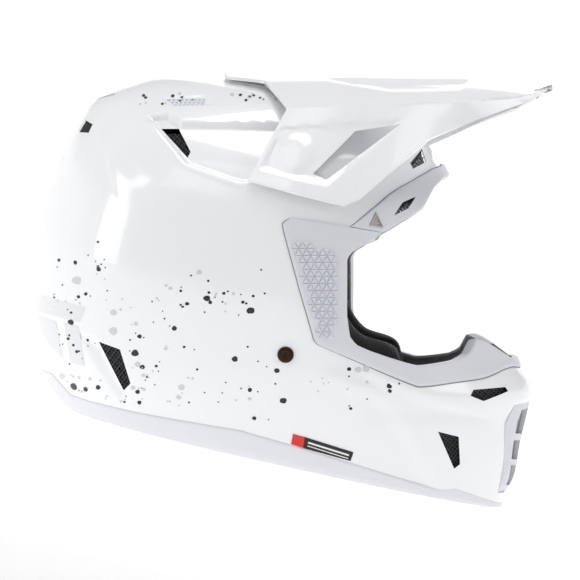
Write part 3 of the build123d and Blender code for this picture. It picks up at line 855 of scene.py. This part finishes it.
@dataclass
class EyeportTrim:
    """Grey eyeport surround with its moulded field of small triangles."""

    pitch: float = 5.3
    tooth: float = 1.05
    field_outline: Outline = ((24.5, 151), (59, 139.5), (60, 92), (55, 82), (45, 83))

    def strip(self) -> RimStrip:
        """The band itself."""
        stations = (
            ((27, 162), (88, 152)), ((22, 158), (69, 140)), ((26, 142), (65, 134)),
            ((31.5, 122), (65, 113)), ((38, 99), (65, 97)), ((43, 81), (67, 83)),
            ((47, 77), (72, 77)), ((63, 70), (81, 73)), ((86, 60), (92, 69)),
            ((112, 49), (113, 63)), ((135, 51), (138, 66.3)), ((155, 53.2), (147, 71)),
            ((163, 55.5), (152.3, 80.2)), ((170, 58.5), (164, 74.3)), ((177, 60), (175, 66.5)),
        )
        return RimStrip("eyeport_surround", "eyeport_trim", stations, (58.5, 66.3))

    def triangles(self, side: Side) -> bpy.types.Object:
        """Raised triangles over the wide rear arm of one side."""
        row_step = self.pitch * math.sqrt(3) / 2
        points, faces = [], []
        outline = np.array(self.field_outline)
        low, high = outline.min(0), outline.max(0)
        row = 0
        z = low[1]
        while z < high[1]:
            shift = (row % 2) * self.pitch / 2
            x = low[0] - self.pitch + shift
            while x < high[0] + self.pitch:
                for up in (True, False):
                    self.add_tooth(points, faces, x, z, up, side)
                x += self.pitch
            z += row_step
            row += 1
        piece = make_object(f"surround_relief_{side.word}", np.array(points), faces, TRIM_RELIEF.make(), 25)
        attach(piece, "helmet_shell")
        return piece

    def add_tooth(self, points: list, faces: list, x: float, z: float, up: bool, side: Side) -> None:
        """One raised triangle, kept if it lies inside the field.

        Args:
            points: Head-frame points collected so far.
            faces: Faces collected so far.
            x: Side-view place of the cell's lower left corner.
            z: Side-view height of the cell's lower edge.
            up: Whether the triangle points up.
            side: Which side of the helmet.
        """
        tall = self.pitch * math.sqrt(3) / 2
        if up:
            corners = np.array(((x, z), (x + self.pitch, z), (x + self.pitch / 2, z + tall)))
        else:
            left, right = x + self.pitch / 2, x + self.pitch * 1.5
            corners = np.array(((left, z + tall), (right, z + tall), (x + self.pitch, z)))
        centre = corners.mean(0)
        if signed_distance(corners, self.field_outline).max() > 1.2:
            return
        start = len(points)
        for share, lift in ((0.9, 1.95), (0.88, 2.0 + 0.55 * self.tooth), (0.36, 2.0 + self.tooth)):
            ring = centre + (corners - centre) * share
            points.extend(FORM.on_side(ring, lift, side))
        for low in (start, start + 3):
            for k in range(3):
                beside = (k + 1) % 3
                faces.append((low + k, low + beside, low + 3 + beside, low + 3 + k))
        faces.append((start + 6, start + 7, start + 8))
        faces.append((start + 2, start + 1, start))

    def build(self) -> None:
        """Band and relief on both sides."""
        self.strip().build()
        for side in Side:
            self.triangles(side)


@dataclass
class BrowTrim:
    """Grey brow band over the eyeport, with a metal badge on each side."""

    badge: Outline = ((79, 157), (83, 166), (88, 155.5))

    def build(self) -> None:
        """Band with its vent holes, then the badges."""
        stations = (
            ((67, 156.2), (88.5, 152.2)), ((80, 167), (103, 161)), ((92, 177.5), (115, 168.8)),
            ((101, 183.5), (119, 176)), ((112, 190), (123, 183.5)), ((122, 196), (129, 189.5)),
        )
        band = RimStrip("brow_band", "brow_trim", stations, (200.0, 191.5), wrap=6.0).build()
        cut_with(band, [side_prism(SIDE_VENTS["brow_lower"])])
        shade(band, 40)
        for side in Side:
            self.build_badge(side)

    def build_badge(self, side: Side) -> None:
        """Small domed triangle of three facets."""
        corners = np.array(self.badge)
        centre = corners.mean(0)
        rings = []
        for share, lift in ((1.0, 1.6), (1.0, 2.5), (0.86, 2.9), (0.5, 2.7), (0.4, 3.0)):
            rings.append(FORM.on_side(centre + (corners - centre) * share, lift, side))
        points = np.concatenate(rings)
        faces = grid_faces(5, 3, wrap=True) + [(2, 1, 0), (12, 13, 14)]
        badge = make_object(f"brow_triangle_{side.word}", points, faces, BADGE.make(), 15)
        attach(badge, "helmet_shell")
        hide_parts(f"brow_badge_{side.word}")


@dataclass
class BaseTrim:
    """Edge roll round the neck opening, flat where the helmet stands on it."""

    columns: int = 480
    proud: float = 0.8
    inner: float = 5.0

    def build(self) -> None:
        """The roll as one closed ring."""
        shell = OuterShell()
        angles = np.linspace(0, ALL_ROUND, self.columns, endpoint=False)
        top = shell.seam_u(angles)
        base = self.base_u(angles)
        section = (
            (1.0, -0.4), (0.985, 0.35), (0.93, 0.75), (0.8, 0.8), (0.55, 1.0), (0.3, 0.9), (0.12, 0.4),
            (0.03, -0.5), (0.0, -1.4), (0.0, -self.inner + 0.8), (0.06, -self.inner),
            (0.6, -self.inner), (1.0, -self.inner + 0.5), (1.0, -3.2),
        )
        lines = [FORM.lifted(angles, base + (top - base) * share, lift) for share, lift in section]
        points = np.stack(lines, 1)
        flat = points.reshape(-1, 3)
        low = ground_z(flat[:, 0], 0.0)
        flat[:, 2] = np.maximum(flat[:, 2], low)
        faces = grid_faces(self.columns, len(section), wrap=True)
        last = (self.columns - 1) * len(section)
        for k in range(len(section)):
            nxt = (k + 1) % len(section)
            faces.append((last + k, last + nxt, nxt, k))
        roll = make_object("edge_roll", flat, faces, EDGE_ROLL.make(), 60)
        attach(roll, "helmet_shell")
        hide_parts("base_trim")

    @staticmethod
    def base_u(angles: np.ndarray) -> np.ndarray:
        """Parameter where the form meets the ground plane."""
        z = np.zeros(len(angles))
        for _ in range(30):
            x = FORM.surface(angles, FORM.u_of(z))[:, 0]
            z = 0.5 * z + 0.5 * ground_z(x, 0.0)
        return FORM.u_of(z)


@dataclass
class Peak:
    """Faceted peak with side windows, a scooped rear edge and pivot hubs behind its cheeks."""

    # x, ridge z, shoulder y and z, crease y and z
    stations: np.ndarray = field(default_factory=lambda: np.array((
        (-34, 266, 38, 262, 80, 241), (20, 267.5, 38, 264, 88, 237), (65, 267.5, 38, 264, 87, 238),
        (125, 265.5, 36, 262, 80, 241), (187, 261, 30, 258, 64, 246), (208, 256, 12, 255, 26, 253.4),
    ), float))
    # crease x, lower edge x, y and z, rear to front
    cheek: np.ndarray = field(default_factory=lambda: np.array((
        (24, -1, 117, 188), (40, 27, 120.4, 180), (58, 50, 118.4, 174), (66, 63, 115.4, 171),
        (76, 73, 112, 175), (98, 96, 102, 195), (122, 120, 93, 216), (150, 154, 80, 229.5),
        (176, 184, 66, 240.5), (196, 199, 44, 248.5), (205, 205, 22, 253.2),
    ), float))
    wall: float = 2.4
    window: Outline = ((42, 192), (51, 188), (101, 226), (70, 221))
    pocket: Outline = ((20, 224), (104, 229), (52, 184), (6, 195))
    pocket_depth: float = 1.4
    recess_depth: float = 1.6
    top_recess: Outline = ((46, 258), (94, 249), (140, 250), (150, 258))

    def section(self, x: np.ndarray) -> np.ndarray:
        """Station values at x."""
        return natural_spline(self.stations[:, 0], self.stations[:, 1:], x)

    def top_grid(self, columns: int, rows: int) -> np.ndarray:
        """Points of the top panel, from the right crease over the ridge to the left one."""
        lines = []
        for across in np.linspace(-1, 1, columns):
            share = abs(across)
            rear = np.interp(share, (0, 0.42, 0.55, 0.76, 1.0), (-24, -21, 6, 14, 24))
            tip = 207.5 - 2.5 * share**2
            x = np.linspace(rear, tip, rows)
            ridge, s_y, s_z, c_y, c_z = self.section(x).T
            t = share
            y = 2 * t * (1 - t) * s_y + t * t * c_y + (1 - t) ** 2 * 0
            z = (1 - t) ** 2 * ridge + 2 * t * (1 - t) * (s_z + 1.5) + t * t * c_z
            lines.append(np.stack((x, math.copysign(1, across) * y, z), 1))
        return np.stack(lines, 1)

    def cheek_grid(self, side: Side, columns: int, rows: int) -> np.ndarray:
        """Points of one side panel, from the crease down to the lower edge."""
        at = np.linspace(0, len(self.cheek) - 1, rows)
        knots = np.arange(len(self.cheek), dtype=float)
        crease_x, low_x, low_y, low_z = (np.interp(at, knots, self.cheek[:, k]) for k in range(4))
        _, _, _, c_y, c_z = self.section(crease_x).T
        top = np.stack((crease_x, c_y * side.value, c_z), 1)
        low = np.stack((low_x, low_y * side.value, low_z), 1)
        return np.stack([top + (low - top) * share for share in np.linspace(0, 1, columns)], 1)

    def build(self) -> None:
        """The peak as one closed mesh."""
        rows = 130
        top = self.top_grid(61, rows)
        cheeks = {side: self.cheek_grid(side, 26, rows) for side in Side}
        left = cheeks[Side.LEFT][:, ::1]
        right = cheeks[Side.RIGHT][:, ::-1]
        sheet = np.concatenate((right[:, :-1], top, left[:, 1:]), 1)
        sheet = self.sunk(sheet)
        count, ring = sheet.shape[:2]
        flat = sheet.reshape(-1, 3)
        peak = make_object("peak_shell", flat, grid_faces(count, ring), PEAK_ABS.make(), 30)
        if self.faces_down(peak):
            peak.data.flip_normals()
        solid = peak.modifiers.new("wall", "SOLIDIFY")
        solid.thickness = self.wall * MM
        solid.offset = -1.0
        solid.use_even_offset = True
        apply_modifiers(peak)
        cut_with(peak, [side_prism(self.window)])
        rounding = peak.modifiers.new("edges", "BEVEL")
        rounding.width = 0.55 * MM
        rounding.segments = 2
        rounding.limit_method = "ANGLE"
        rounding.angle_limit = math.radians(50)
        apply_modifiers(peak)
        shade(peak, 24)
        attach(peak, "peak")
        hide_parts("peak")

    def sunk(self, sheet: np.ndarray) -> np.ndarray:
        """Press the window pocket and the top recess into the sheet."""
        flat = sheet.reshape(-1, 3)
        at = flat[:, (0, 2)]
        outside = np.abs(flat[:, 1]) > 60
        pocket = smooth_step(-signed_distance(at, self.pocket), 0.0, 2.4) * outside
        pocket *= smooth_step(np.hypot(at[:, 0] - 30, at[:, 1] - 206), 8.0, 15.0)
        recess = smooth_step(-signed_distance(at, self.top_recess), 0.0, 2.0)
        recess *= (np.abs(flat[:, 1]) < 84) & (np.abs(flat[:, 1]) > 12)
        moved = flat.copy()
        moved[:, 1] -= np.sign(flat[:, 1]) * pocket * self.pocket_depth
        moved[:, 2] -= recess * self.recess_depth
        return moved.reshape(sheet.shape)

    @staticmethod
    def faces_down(peak: bpy.types.Object) -> bool:
        """Whether the sheet's highest face points down."""
        highest = max(peak.data.polygons, key=lambda face: face.center.z)
        return highest.normal.z < 0


@dataclass
class VentScreens:
    """Mesh across the vents: strands that cross over and under."""

    pitch: float = 2.1
    strand: float = 0.42
    sink: float = 1.7
    weave: float = 0.28
    directions: tuple[float, float] = (0.9, -0.75)

    def strands(self, outline: Outline, direction: float) -> list[np.ndarray]:
        """Side-view lines of one family of strands, clipped to an outline."""
        corners = np.array(outline, float)
        along = np.array((math.cos(direction), math.sin(direction)))
        across = np.array((-along[1], along[0]))
        offsets = corners @ across
        lines = []
        for offset in np.arange(offsets.min() + self.pitch / 2, offsets.max(), self.pitch):
            hits = []
            for a, b in zip(corners, np.roll(corners, -1, axis=0)):
                da, db = a @ across - offset, b @ across - offset
                if da * db < 0:
                    hits.append((a + (b - a) * da / (da - db)) @ along)
            hits.sort()
            for start, end in zip(hits[::2], hits[1::2]):
                count = max(2, int((end - start) / 0.7))
                run = np.linspace(start - 0.4, end + 0.4, count)
                lines.append(np.outer(run, along) + across * offset)
        return lines

    def build_screen(self, name: str, outline: Outline, side: Side, sink: float) -> None:
        """One woven screen."""
        points, faces = [], []
        for family, direction in enumerate(self.directions):
            for line in self.strands(outline, direction):
                crossing = self.directions[1 - family]
                phase = line @ np.array((math.cos(crossing), math.sin(crossing)))
                wave = self.weave * np.sin(phase * math.pi / self.pitch) * (1 if family == 0 else -1)
                start = len(points)
                normal = np.array((-math.sin(direction), math.cos(direction)))
                for dx, dz in ((1, 0), (0, 1), (-1, 0), (0, -1)):
                    lift = -sink + wave + dz * self.strand * 0.7
                    points.extend(FORM.on_side(line + normal * dx * self.strand, lift, side))
                count = len(line)
                for k in range(4):
                    nxt = (k + 1) % 4
                    for i in range(count - 1):
                        faces.append((
                            start + k * count + i, start + k * count + i + 1,
                            start + nxt * count + i + 1, start + nxt * count + i,
                        ))
                faces.append(tuple(start + k * count for k in range(4)))
                faces.append(tuple(start + k * count + count - 1 for k in (3, 2, 1, 0)))
        screen = make_object(f"{name}_weave_{side.word}", np.array(points), faces, MESH.make(), 60)
        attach(screen, "helmet_shell")
        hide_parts(f"{name}_screen_{side.word}")

    def build(self) -> None:
        """Screens of the vents on both sides."""
        for name, outline in SIDE_VENTS.items():
            sink = self.sink + (4.0 if name == "side_exhaust" else 0.0)
            for side in Side:
                self.build_screen(name, outline, side, sink)


@dataclass
class Rivets:
    """Strap rivets: low dome with a coined ring and a small round socket."""

    radius: float = 5.5
    place: tuple[float, float] = (24, 71)

    def build(self) -> None:
        """A rivet on each side."""
        low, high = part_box("strap_rivets")
        centre = (low + high) / 2
        outer = high.y
        section = (
            (0.0, 0.25), (1.2, 0.25), (1.25, 0.95), (1.9, 1.5), (2.6, 1.75), (3.1, 1.45), (3.5, 1.5),
            (4.2, 1.35), (4.9, 0.9), (5.35, 0.35), (5.5, -0.2), (5.5, -1.4), (2.5, -1.4), (2.5, -9.0),
        )
        for side in Side:
            work = bmesh.new()
            rings = []
            around = 48
            for radius, lift in section:
                ring = []
                for k in range(around):
                    angle = ALL_ROUND * k / around
                    knurl = 0.12 * math.cos(12 * angle) if 2.0 < radius < 5.0 else 0.0
                    y = side.value * (outer + (lift + knurl - 1.8) * MM)
                    ring.append(work.verts.new((
                        centre.x + max(radius, 0.05) * MM * math.cos(angle), y,
                        centre.z + max(radius, 0.05) * MM * math.sin(angle),
                    )))
                rings.append(ring)
            for a, b in zip(rings, rings[1:]):
                for k in range(around):
                    work.faces.new((a[k], a[(k + 1) % around], b[(k + 1) % around], b[k]))
            work.faces.new(rings[0])
            work.faces.new(rings[-1])
            bmesh.ops.recalc_face_normals(work, faces=work.faces)
            mesh = bpy.data.meshes.new("rivet")
            work.to_mesh(mesh)
            work.free()
            rivet = bpy.data.objects.new(f"strap_rivet_{side.word}", mesh)
            bpy.context.scene.collection.objects.link(rivet)
            mesh.materials.append(BRONZE.make())
            shade(rivet, 35)
            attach(rivet, "helmet_shell")
            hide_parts("strap_rivets")


@dataclass
class Decals:
    """Printed speckles, plain slanted blocks and the blank release label."""

    seed: int = 7

    def patch(
        self, corners: np.ndarray, lift: float, side: Side, divisions: int = 10
    ) -> tuple[np.ndarray, list]:
        """A four-sided patch laid on one side of the form."""
        a, b, c, d = corners
        share = np.linspace(0, 1, divisions)
        grid = [a + (b - a) * s + ((d - a) + ((c - b) - (d - a)) * s) * t for t in share for s in share]
        grid = np.array(grid)
        return FORM.on_side(grid, lift, side), grid_faces(divisions, divisions)

    def block(
        self, name: str, corners: tuple, finish: Finish, lift: float, side: Side
    ) -> bpy.types.Object:
        """One printed block.

        Args:
            name: Object name.
            corners: Four side-view corners.
            finish: Ink or film.
            lift: Height above the form in millimetres.
            side: Which side of the helmet.

        Returns:
            The block.
        """
        points, faces = self.patch(np.array(corners, float), lift, side)
        piece = make_object(name, points, faces, finish.make(), 60)
        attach(piece, "helmet_shell")
        return piece

    def speckles(self, name: str, count: int, finish: Finish, seed: int, size: tuple[float, float]) -> None:
        """Seeded droplets, dense at the lower rear and thinning forwards."""
        rng = random.Random(seed)
        points, faces = [], []
        made = 0
        while made < count:
            x = -124 + 225 * rng.random() ** 1.6
            z = 38 + 96 * rng.random() ** 1.9
            side = rng.choice((Side.RIGHT, Side.LEFT))
            for _ in range(rng.randint(1, 4)):
                x += rng.gauss(0, 7)
                z += rng.gauss(0, 6)
                if self.is_clear(x, z):
                    radius = size[0] + (size[1] - size[0]) * rng.random() ** 3.2
                    self.droplet(points, faces, x, z, radius, rng, side)
                    made += 1
        for _ in range(count // 6):
            x = -78 + 110 * rng.random()
            z = 240 + 8 * rng.random()
            if z > 255 - abs(x + 50) * 0.12:
                continue
            side = rng.choice((Side.RIGHT, Side.LEFT))
            self.droplet(points, faces, x, z, size[0] + 0.7 * rng.random(), rng, side)
        piece = make_object(name, np.array(points), faces, finish.make(), 60)
        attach(piece, "helmet_shell")

    @staticmethod
    def is_clear(x: float, z: float) -> bool:
        """Whether a droplet at x and z lies on open shell, off the vents and above the seam."""
        at = np.array([(x, z)])
        seam = np.array(SEAM)
        base = ground_z(x, np.interp(x, seam[:, 0], seam[:, 1]))
        holes = min(signed_distance(at, points)[0] for points in SIDE_VENTS.values())
        fore = x > 12 and z > 62
        return holes > 3 and z > base + 4 and x > -140 and not fore and math.hypot(x - 24, z - 71) > 9

    def droplet(
        self, points: list, faces: list, x: float, z: float, radius: float, rng: random.Random, side: Side
    ) -> None:
        """One droplet with a slightly uneven rim.

        Args:
            points: Head-frame points collected so far.
            faces: Faces collected so far.
            x: Side-view place of its centre.
            z: Side-view height of its centre.
            radius: Mean radius in millimetres.
            rng: Seeded source of unevenness.
            side: Which side of the helmet.
        """
        start = len(points)
        rim = 12
        ring = []
        stretch = 1 + 0.25 * rng.random()
        for k in range(rim):
            angle = ALL_ROUND * k / rim
            reach = radius * (0.88 + 0.24 * rng.random())
            ring.append((x + reach * math.cos(angle) * stretch, z + reach * math.sin(angle)))
        relief = OuterShell().relief(np.array([x]), np.array([z]))[0]
        points.extend(FORM.on_side(np.array([(x, z)]), 0.16 + relief, side))
        points.extend(FORM.on_side(np.array(ring), 0.1 + relief, side))
        faces.extend((start, start + 1 + k, start + 1 + (k + 1) % rim) for k in range(rim))

    def build(self) -> None:
        """Everything printed on the shell, and a thin blue sliver at the crown's top edge."""
        self.speckles("speckles_dark", 210, INK_DARK, self.seed, (0.45, 2.3))
        self.speckles("speckles_grey", 130, INK_GREY, self.seed + 1, (0.6, 2.8))
        blocks = (
            ((-154, 112), (-112, 102), (-116, 92), (-152, 99)),
            ((-150, 96), (-134, 92), (-129, 66), (-144, 79)),
            ((-128, 91), (-117, 89), (-113, 62), (-124, 64)),
        )
        for side in Side:
            for number, corners in enumerate(blocks):
                self.block(f"rear_block_{number}_{side.word}", corners, INK_PALE, 0.12, side)
            red = ((28.6, 17.6), (36.5, 15.4), (35.2, 7.9), (27.2, 10.6))
            black = ((36.5, 15.4), (69, 4.8), (67, -1.2), (35.2, 7.9))
            film = self.block(f"label_red_{side.word}", red, FILM_RED, 0.35, side)
            self.block(f"label_black_{side.word}", black, FILM_BLACK, 0.35, side)
            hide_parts(f"release_label_{side.word}")
            for number, (top, low) in enumerate(((0.3, 0.46), (0.64, 0.72))):
                self.label_bar(number, top, low, side)
            # A thin saturated blue sliver along the crown's top edge.
            mark = ((-112, 245.6), (-98, 249), (-98, 248.2), (-113, 244.6))
            self.block(f"crown_mark_{side.word}", mark, CROWN_BLUE, 0.1, side)
        for side in Side:
            self.panel_triangles(side)

    def label_bar(self, number: int, top: float, low: float, side: Side) -> None:
        """A plain pale bar where the label would carry words."""
        a, b = np.array((36.5, 15.4)), np.array((69, 4.8))
        down = np.array((-1.3, -7.5))
        corners = [a + (b - a) * 0.08 + down * top, a + (b - a) * 0.92 + down * top]
        corners += [a + (b - a) * 0.92 + down * low, a + (b - a) * 0.08 + down * low]
        self.block(f"label_bar_{number}_{side.word}", corners, FILM_WHITE, 0.42, side)

    def panel_triangles(self, side: Side) -> None:
        """Rows of small blue-grey triangles on the crown panel."""
        points, faces = [], []
        for row in range(3):
            z = 244.2 - row * 1.9
            for column in range(9 - row):
                x = -59 + row * 2.2 + column * 3.0
                start = len(points)
                corners = np.array(((x, z), (x + 2.2, z), (x + 1.1, z - 1.5)))
                points.extend(FORM.on_side(corners, -0.45, side))
                faces.append((start, start + 1, start + 2))
        piece = make_object(f"panel_triangles_{side.word}", np.array(points), faces, INK_STEEL.make(), 60)
        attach(piece, "helmet_shell")


@dataclass
class Padding:
    """Foam pads under wicking knit; the cheek pads are puffed by a cloth simulation."""

    pads: tuple[tuple[str, str, float], ...] = (
        ("cheek_pad_right", "cheek_pad_right", 0.7), ("cheek_pad_left", "cheek_pad_left", 0.7),
        ("comfort_liner", "helmet_shell", 0.5), ("chin_bar_pad", "helmet_shell", 0.5),
        ("neck_roll", "helmet_shell", 0.6),
    )
    voxel: float = 5.0
    shrink: float = 1.6
    cap: float = 2.4

    def build(self) -> None:
        """Each pad from its node's own shape."""
        for name, body, fill in self.pads:
            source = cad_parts[name]
            mesh = source.data.copy()
            pad = bpy.data.objects.new(f"{name}_padded", mesh)
            bpy.context.scene.collection.objects.link(pad)
            remesh = pad.modifiers.new("skin", "REMESH")
            remesh.mode = "VOXEL"
            remesh.voxel_size = self.voxel * MM
            soften = pad.modifiers.new("soften", "SMOOTH")
            soften.iterations = 6
            soften.factor = 0.6
            apply_modifiers(pad)
            pad.data.materials.clear()
            pad.data.materials.append(LINING.make())
            if name.startswith("cheek"):
                self.puff(pad)
            detail = pad.modifiers.new("fine", "SUBSURF")
            detail.levels = detail.render_levels = 1
            apply_modifiers(pad)
            shade(pad, 70)
            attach(pad, body)
            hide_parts(name)
            log.info("pad %s", name)

    def puff(self, pad: bpy.types.Object) -> None:
        """Swell a pad by cloth pressure, no further than the cap."""
        before = np.array([v.co for v in pad.data.vertices])
        cloth = pad.modifiers.new("cloth", "CLOTH")
        cloth.settings.use_pressure = True
        cloth.settings.uniform_pressure_force = 4.0
        cloth.settings.effector_weights.gravity = 0.0
        scene = bpy.context.scene
        for step in range(1, 13):
            scene.frame_set(step)
        depsgraph = bpy.context.evaluated_depsgraph_get()
        made = bpy.data.meshes.new_from_object(pad.evaluated_get(depsgraph))
        pad.modifiers.clear()
        after = np.array([v.co for v in made.vertices])
        move = after - before
        length = np.linalg.norm(move, axis=1, keepdims=True)
        move *= np.minimum(1, self.cap * MM / np.maximum(length, 1e-9))
        for vertex, place in zip(pad.data.vertices, before + move):
            vertex.co = place
        bpy.data.meshes.remove(made)
        scene.frame_set(1)


@dataclass
class Hardware:
    """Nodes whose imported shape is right: they only get their finish."""

    finishes: dict[str, Finish] = field(default_factory=lambda: {
        "crown_liner": FOAM, "chin_bar_liner": FOAM, "chin_strap_left": WEBBING,
        "chin_strap_right": WEBBING, "d_ring_lower": STEEL, "d_ring_upper": STEEL,
        "peak_pivot_left": NYLON, "peak_pivot_right": NYLON,
        "pull_tab_left": TAB, "pull_tab_right": TAB, "mouth_grille": TRIM, "mouth_screen": MESH,
        "rear_exhaust_screens": VENT_DARK,
    })

    def build(self) -> None:
        """Assign each finish to its node's slots."""
        for name, finish in self.finishes.items():
            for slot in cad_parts[name].material_slots:
                slot.material = finish.make()
            log.info("finish on %s", name)


@dataclass
class Studio:
    """Pale floor, soft boxes and the camera."""

    distance: float = 2.6
    azimuth: float = 2.0
    elevation: float = 1.0
    target: tuple[float, float, float] = (22.8, 0.0, 112.2)
    lens: float = 85.0
    frame_mm: float = 406.0  # width of the view at the helmet's mid plane

    def camera(self) -> None:
        """Long lens at eye level, square to the worn attitude."""
        data = bpy.data.cameras.new("view")
        data.sensor_width = 36.0
        data.lens = data.sensor_width * self.distance * 1000 / self.frame_mm
        camera = bpy.data.objects.new("view", data)
        bpy.context.scene.collection.objects.link(camera)
        a, e = math.radians(self.azimuth), math.radians(self.elevation)
        back = np.array((math.sin(a) * math.cos(e), -math.cos(a) * math.cos(e), math.sin(e)))
        right = np.array((math.cos(a), math.sin(a), 0.0))
        up = np.cross(back, right)
        turn = np.array((HeadFrame.axis_x, HeadFrame.axis_y, HeadFrame.axis_z)).T
        axes = [turn @ axis for axis in (right, up, back)]
        place = HeadFrame.to_row(np.array((self.target,)))[0] + axes[2] * self.distance
        matrix = Matrix.Identity(4)
        for column, axis in enumerate(axes):
            for row in range(3):
                matrix[row][column] = axis[row]
        for row in range(3):
            matrix[row][3] = place[row]
        camera.matrix_world = matrix
        data.clip_end = 50.0
        bpy.context.scene.camera = camera

    def area(self, name: str, place: tuple, aim: tuple, size: tuple[float, float], power: float) -> None:
        """One soft box."""
        light = bpy.data.lights.new(name, "AREA")
        light.shape = "RECTANGLE"
        light.size, light.size_y = size
        light.energy = power
        box = bpy.data.objects.new(name, light)
        box.location = place
        box.rotation_euler = (Vector(aim) - Vector(place)).to_track_quat("-Z", "Y").to_euler()
        bpy.context.scene.collection.objects.link(box)

    def stage(self) -> None:
        """Floor that curves up into a backdrop all round, matt and nearly white."""
        card = LightTable("stage_card", "#C4C4C4", "#C0C0C0", 0.9, grain_mm=30.0, grain_depth=0.01)
        points, faces = [], []
        around, section = 96, []
        for step in range(14):
            angle = math.pi / 2 * step / 13
            section.append((4.0 + 3.0 * math.sin(angle), 3.0 - 3.0 * math.cos(angle)))
        section = [(0.02, 0.0), (2.0, 0.0), *section, (7.0, 8.0)]
        for radius, height in section:
            for k in range(around):
                angle = ALL_ROUND * k / around
                points.append((radius * math.cos(angle), radius * math.sin(angle), height))
        faces = grid_faces(len(section), around, wrap=True) + [tuple(range(around))]
        mesh = bpy.data.meshes.new("stage")
        mesh.from_pydata(points, [], faces)
        floor = bpy.data.objects.new("stage", mesh)
        bpy.context.scene.collection.objects.link(floor)
        mesh.materials.append(card.make())
        shade(floor, 60)

    def build(self) -> None:
        """Everything that isn't the helmet."""
        self.camera()
        self.stage()
        world = bpy.data.worlds.new("studio")
        world.use_nodes = True
        world.node_tree.nodes["Background"].inputs["Color"].default_value = (1, 1, 1, 1)
        world.node_tree.nodes["Background"].inputs["Strength"].default_value = 0.4
        bpy.context.scene.world = world
        aim = (0.0, 0.0, 0.15)
        self.area("key_box", (-0.9, -1.6, 1.9), aim, (1.2, 1.2), 4.2)
        self.area("strip_rear", (-1.7, -0.9, 0.5), aim, (0.6, 1.5), 7)
        self.area("front_box", (1.8, -1.1, 1.0), aim, (0.8, 1.2), 6)
        self.area("top_box", (-0.2, -0.2, 2.2), aim, (1.6, 1.2), 19)
        self.area("far_box", (0.2, 2.0, 1.2), aim, (1.4, 1.2), 5)
        bpy.context.scene.view_settings.view_transform = "Standard"


def main() -> None:
    """Build every sub-assembly in order."""
    studio = Studio()
    studio.build()
    assemblies = (
        OuterShell(), EyeportTrim(), BrowTrim(), BaseTrim(), Peak(), VentScreens(), Rivets(),
        Decals(), Padding(), Hardware(),
    )
    for assembly in assemblies:
        assembly.build()
        log.info("built %s", type(assembly).__name__)


if __name__ == "__main__":
    main()
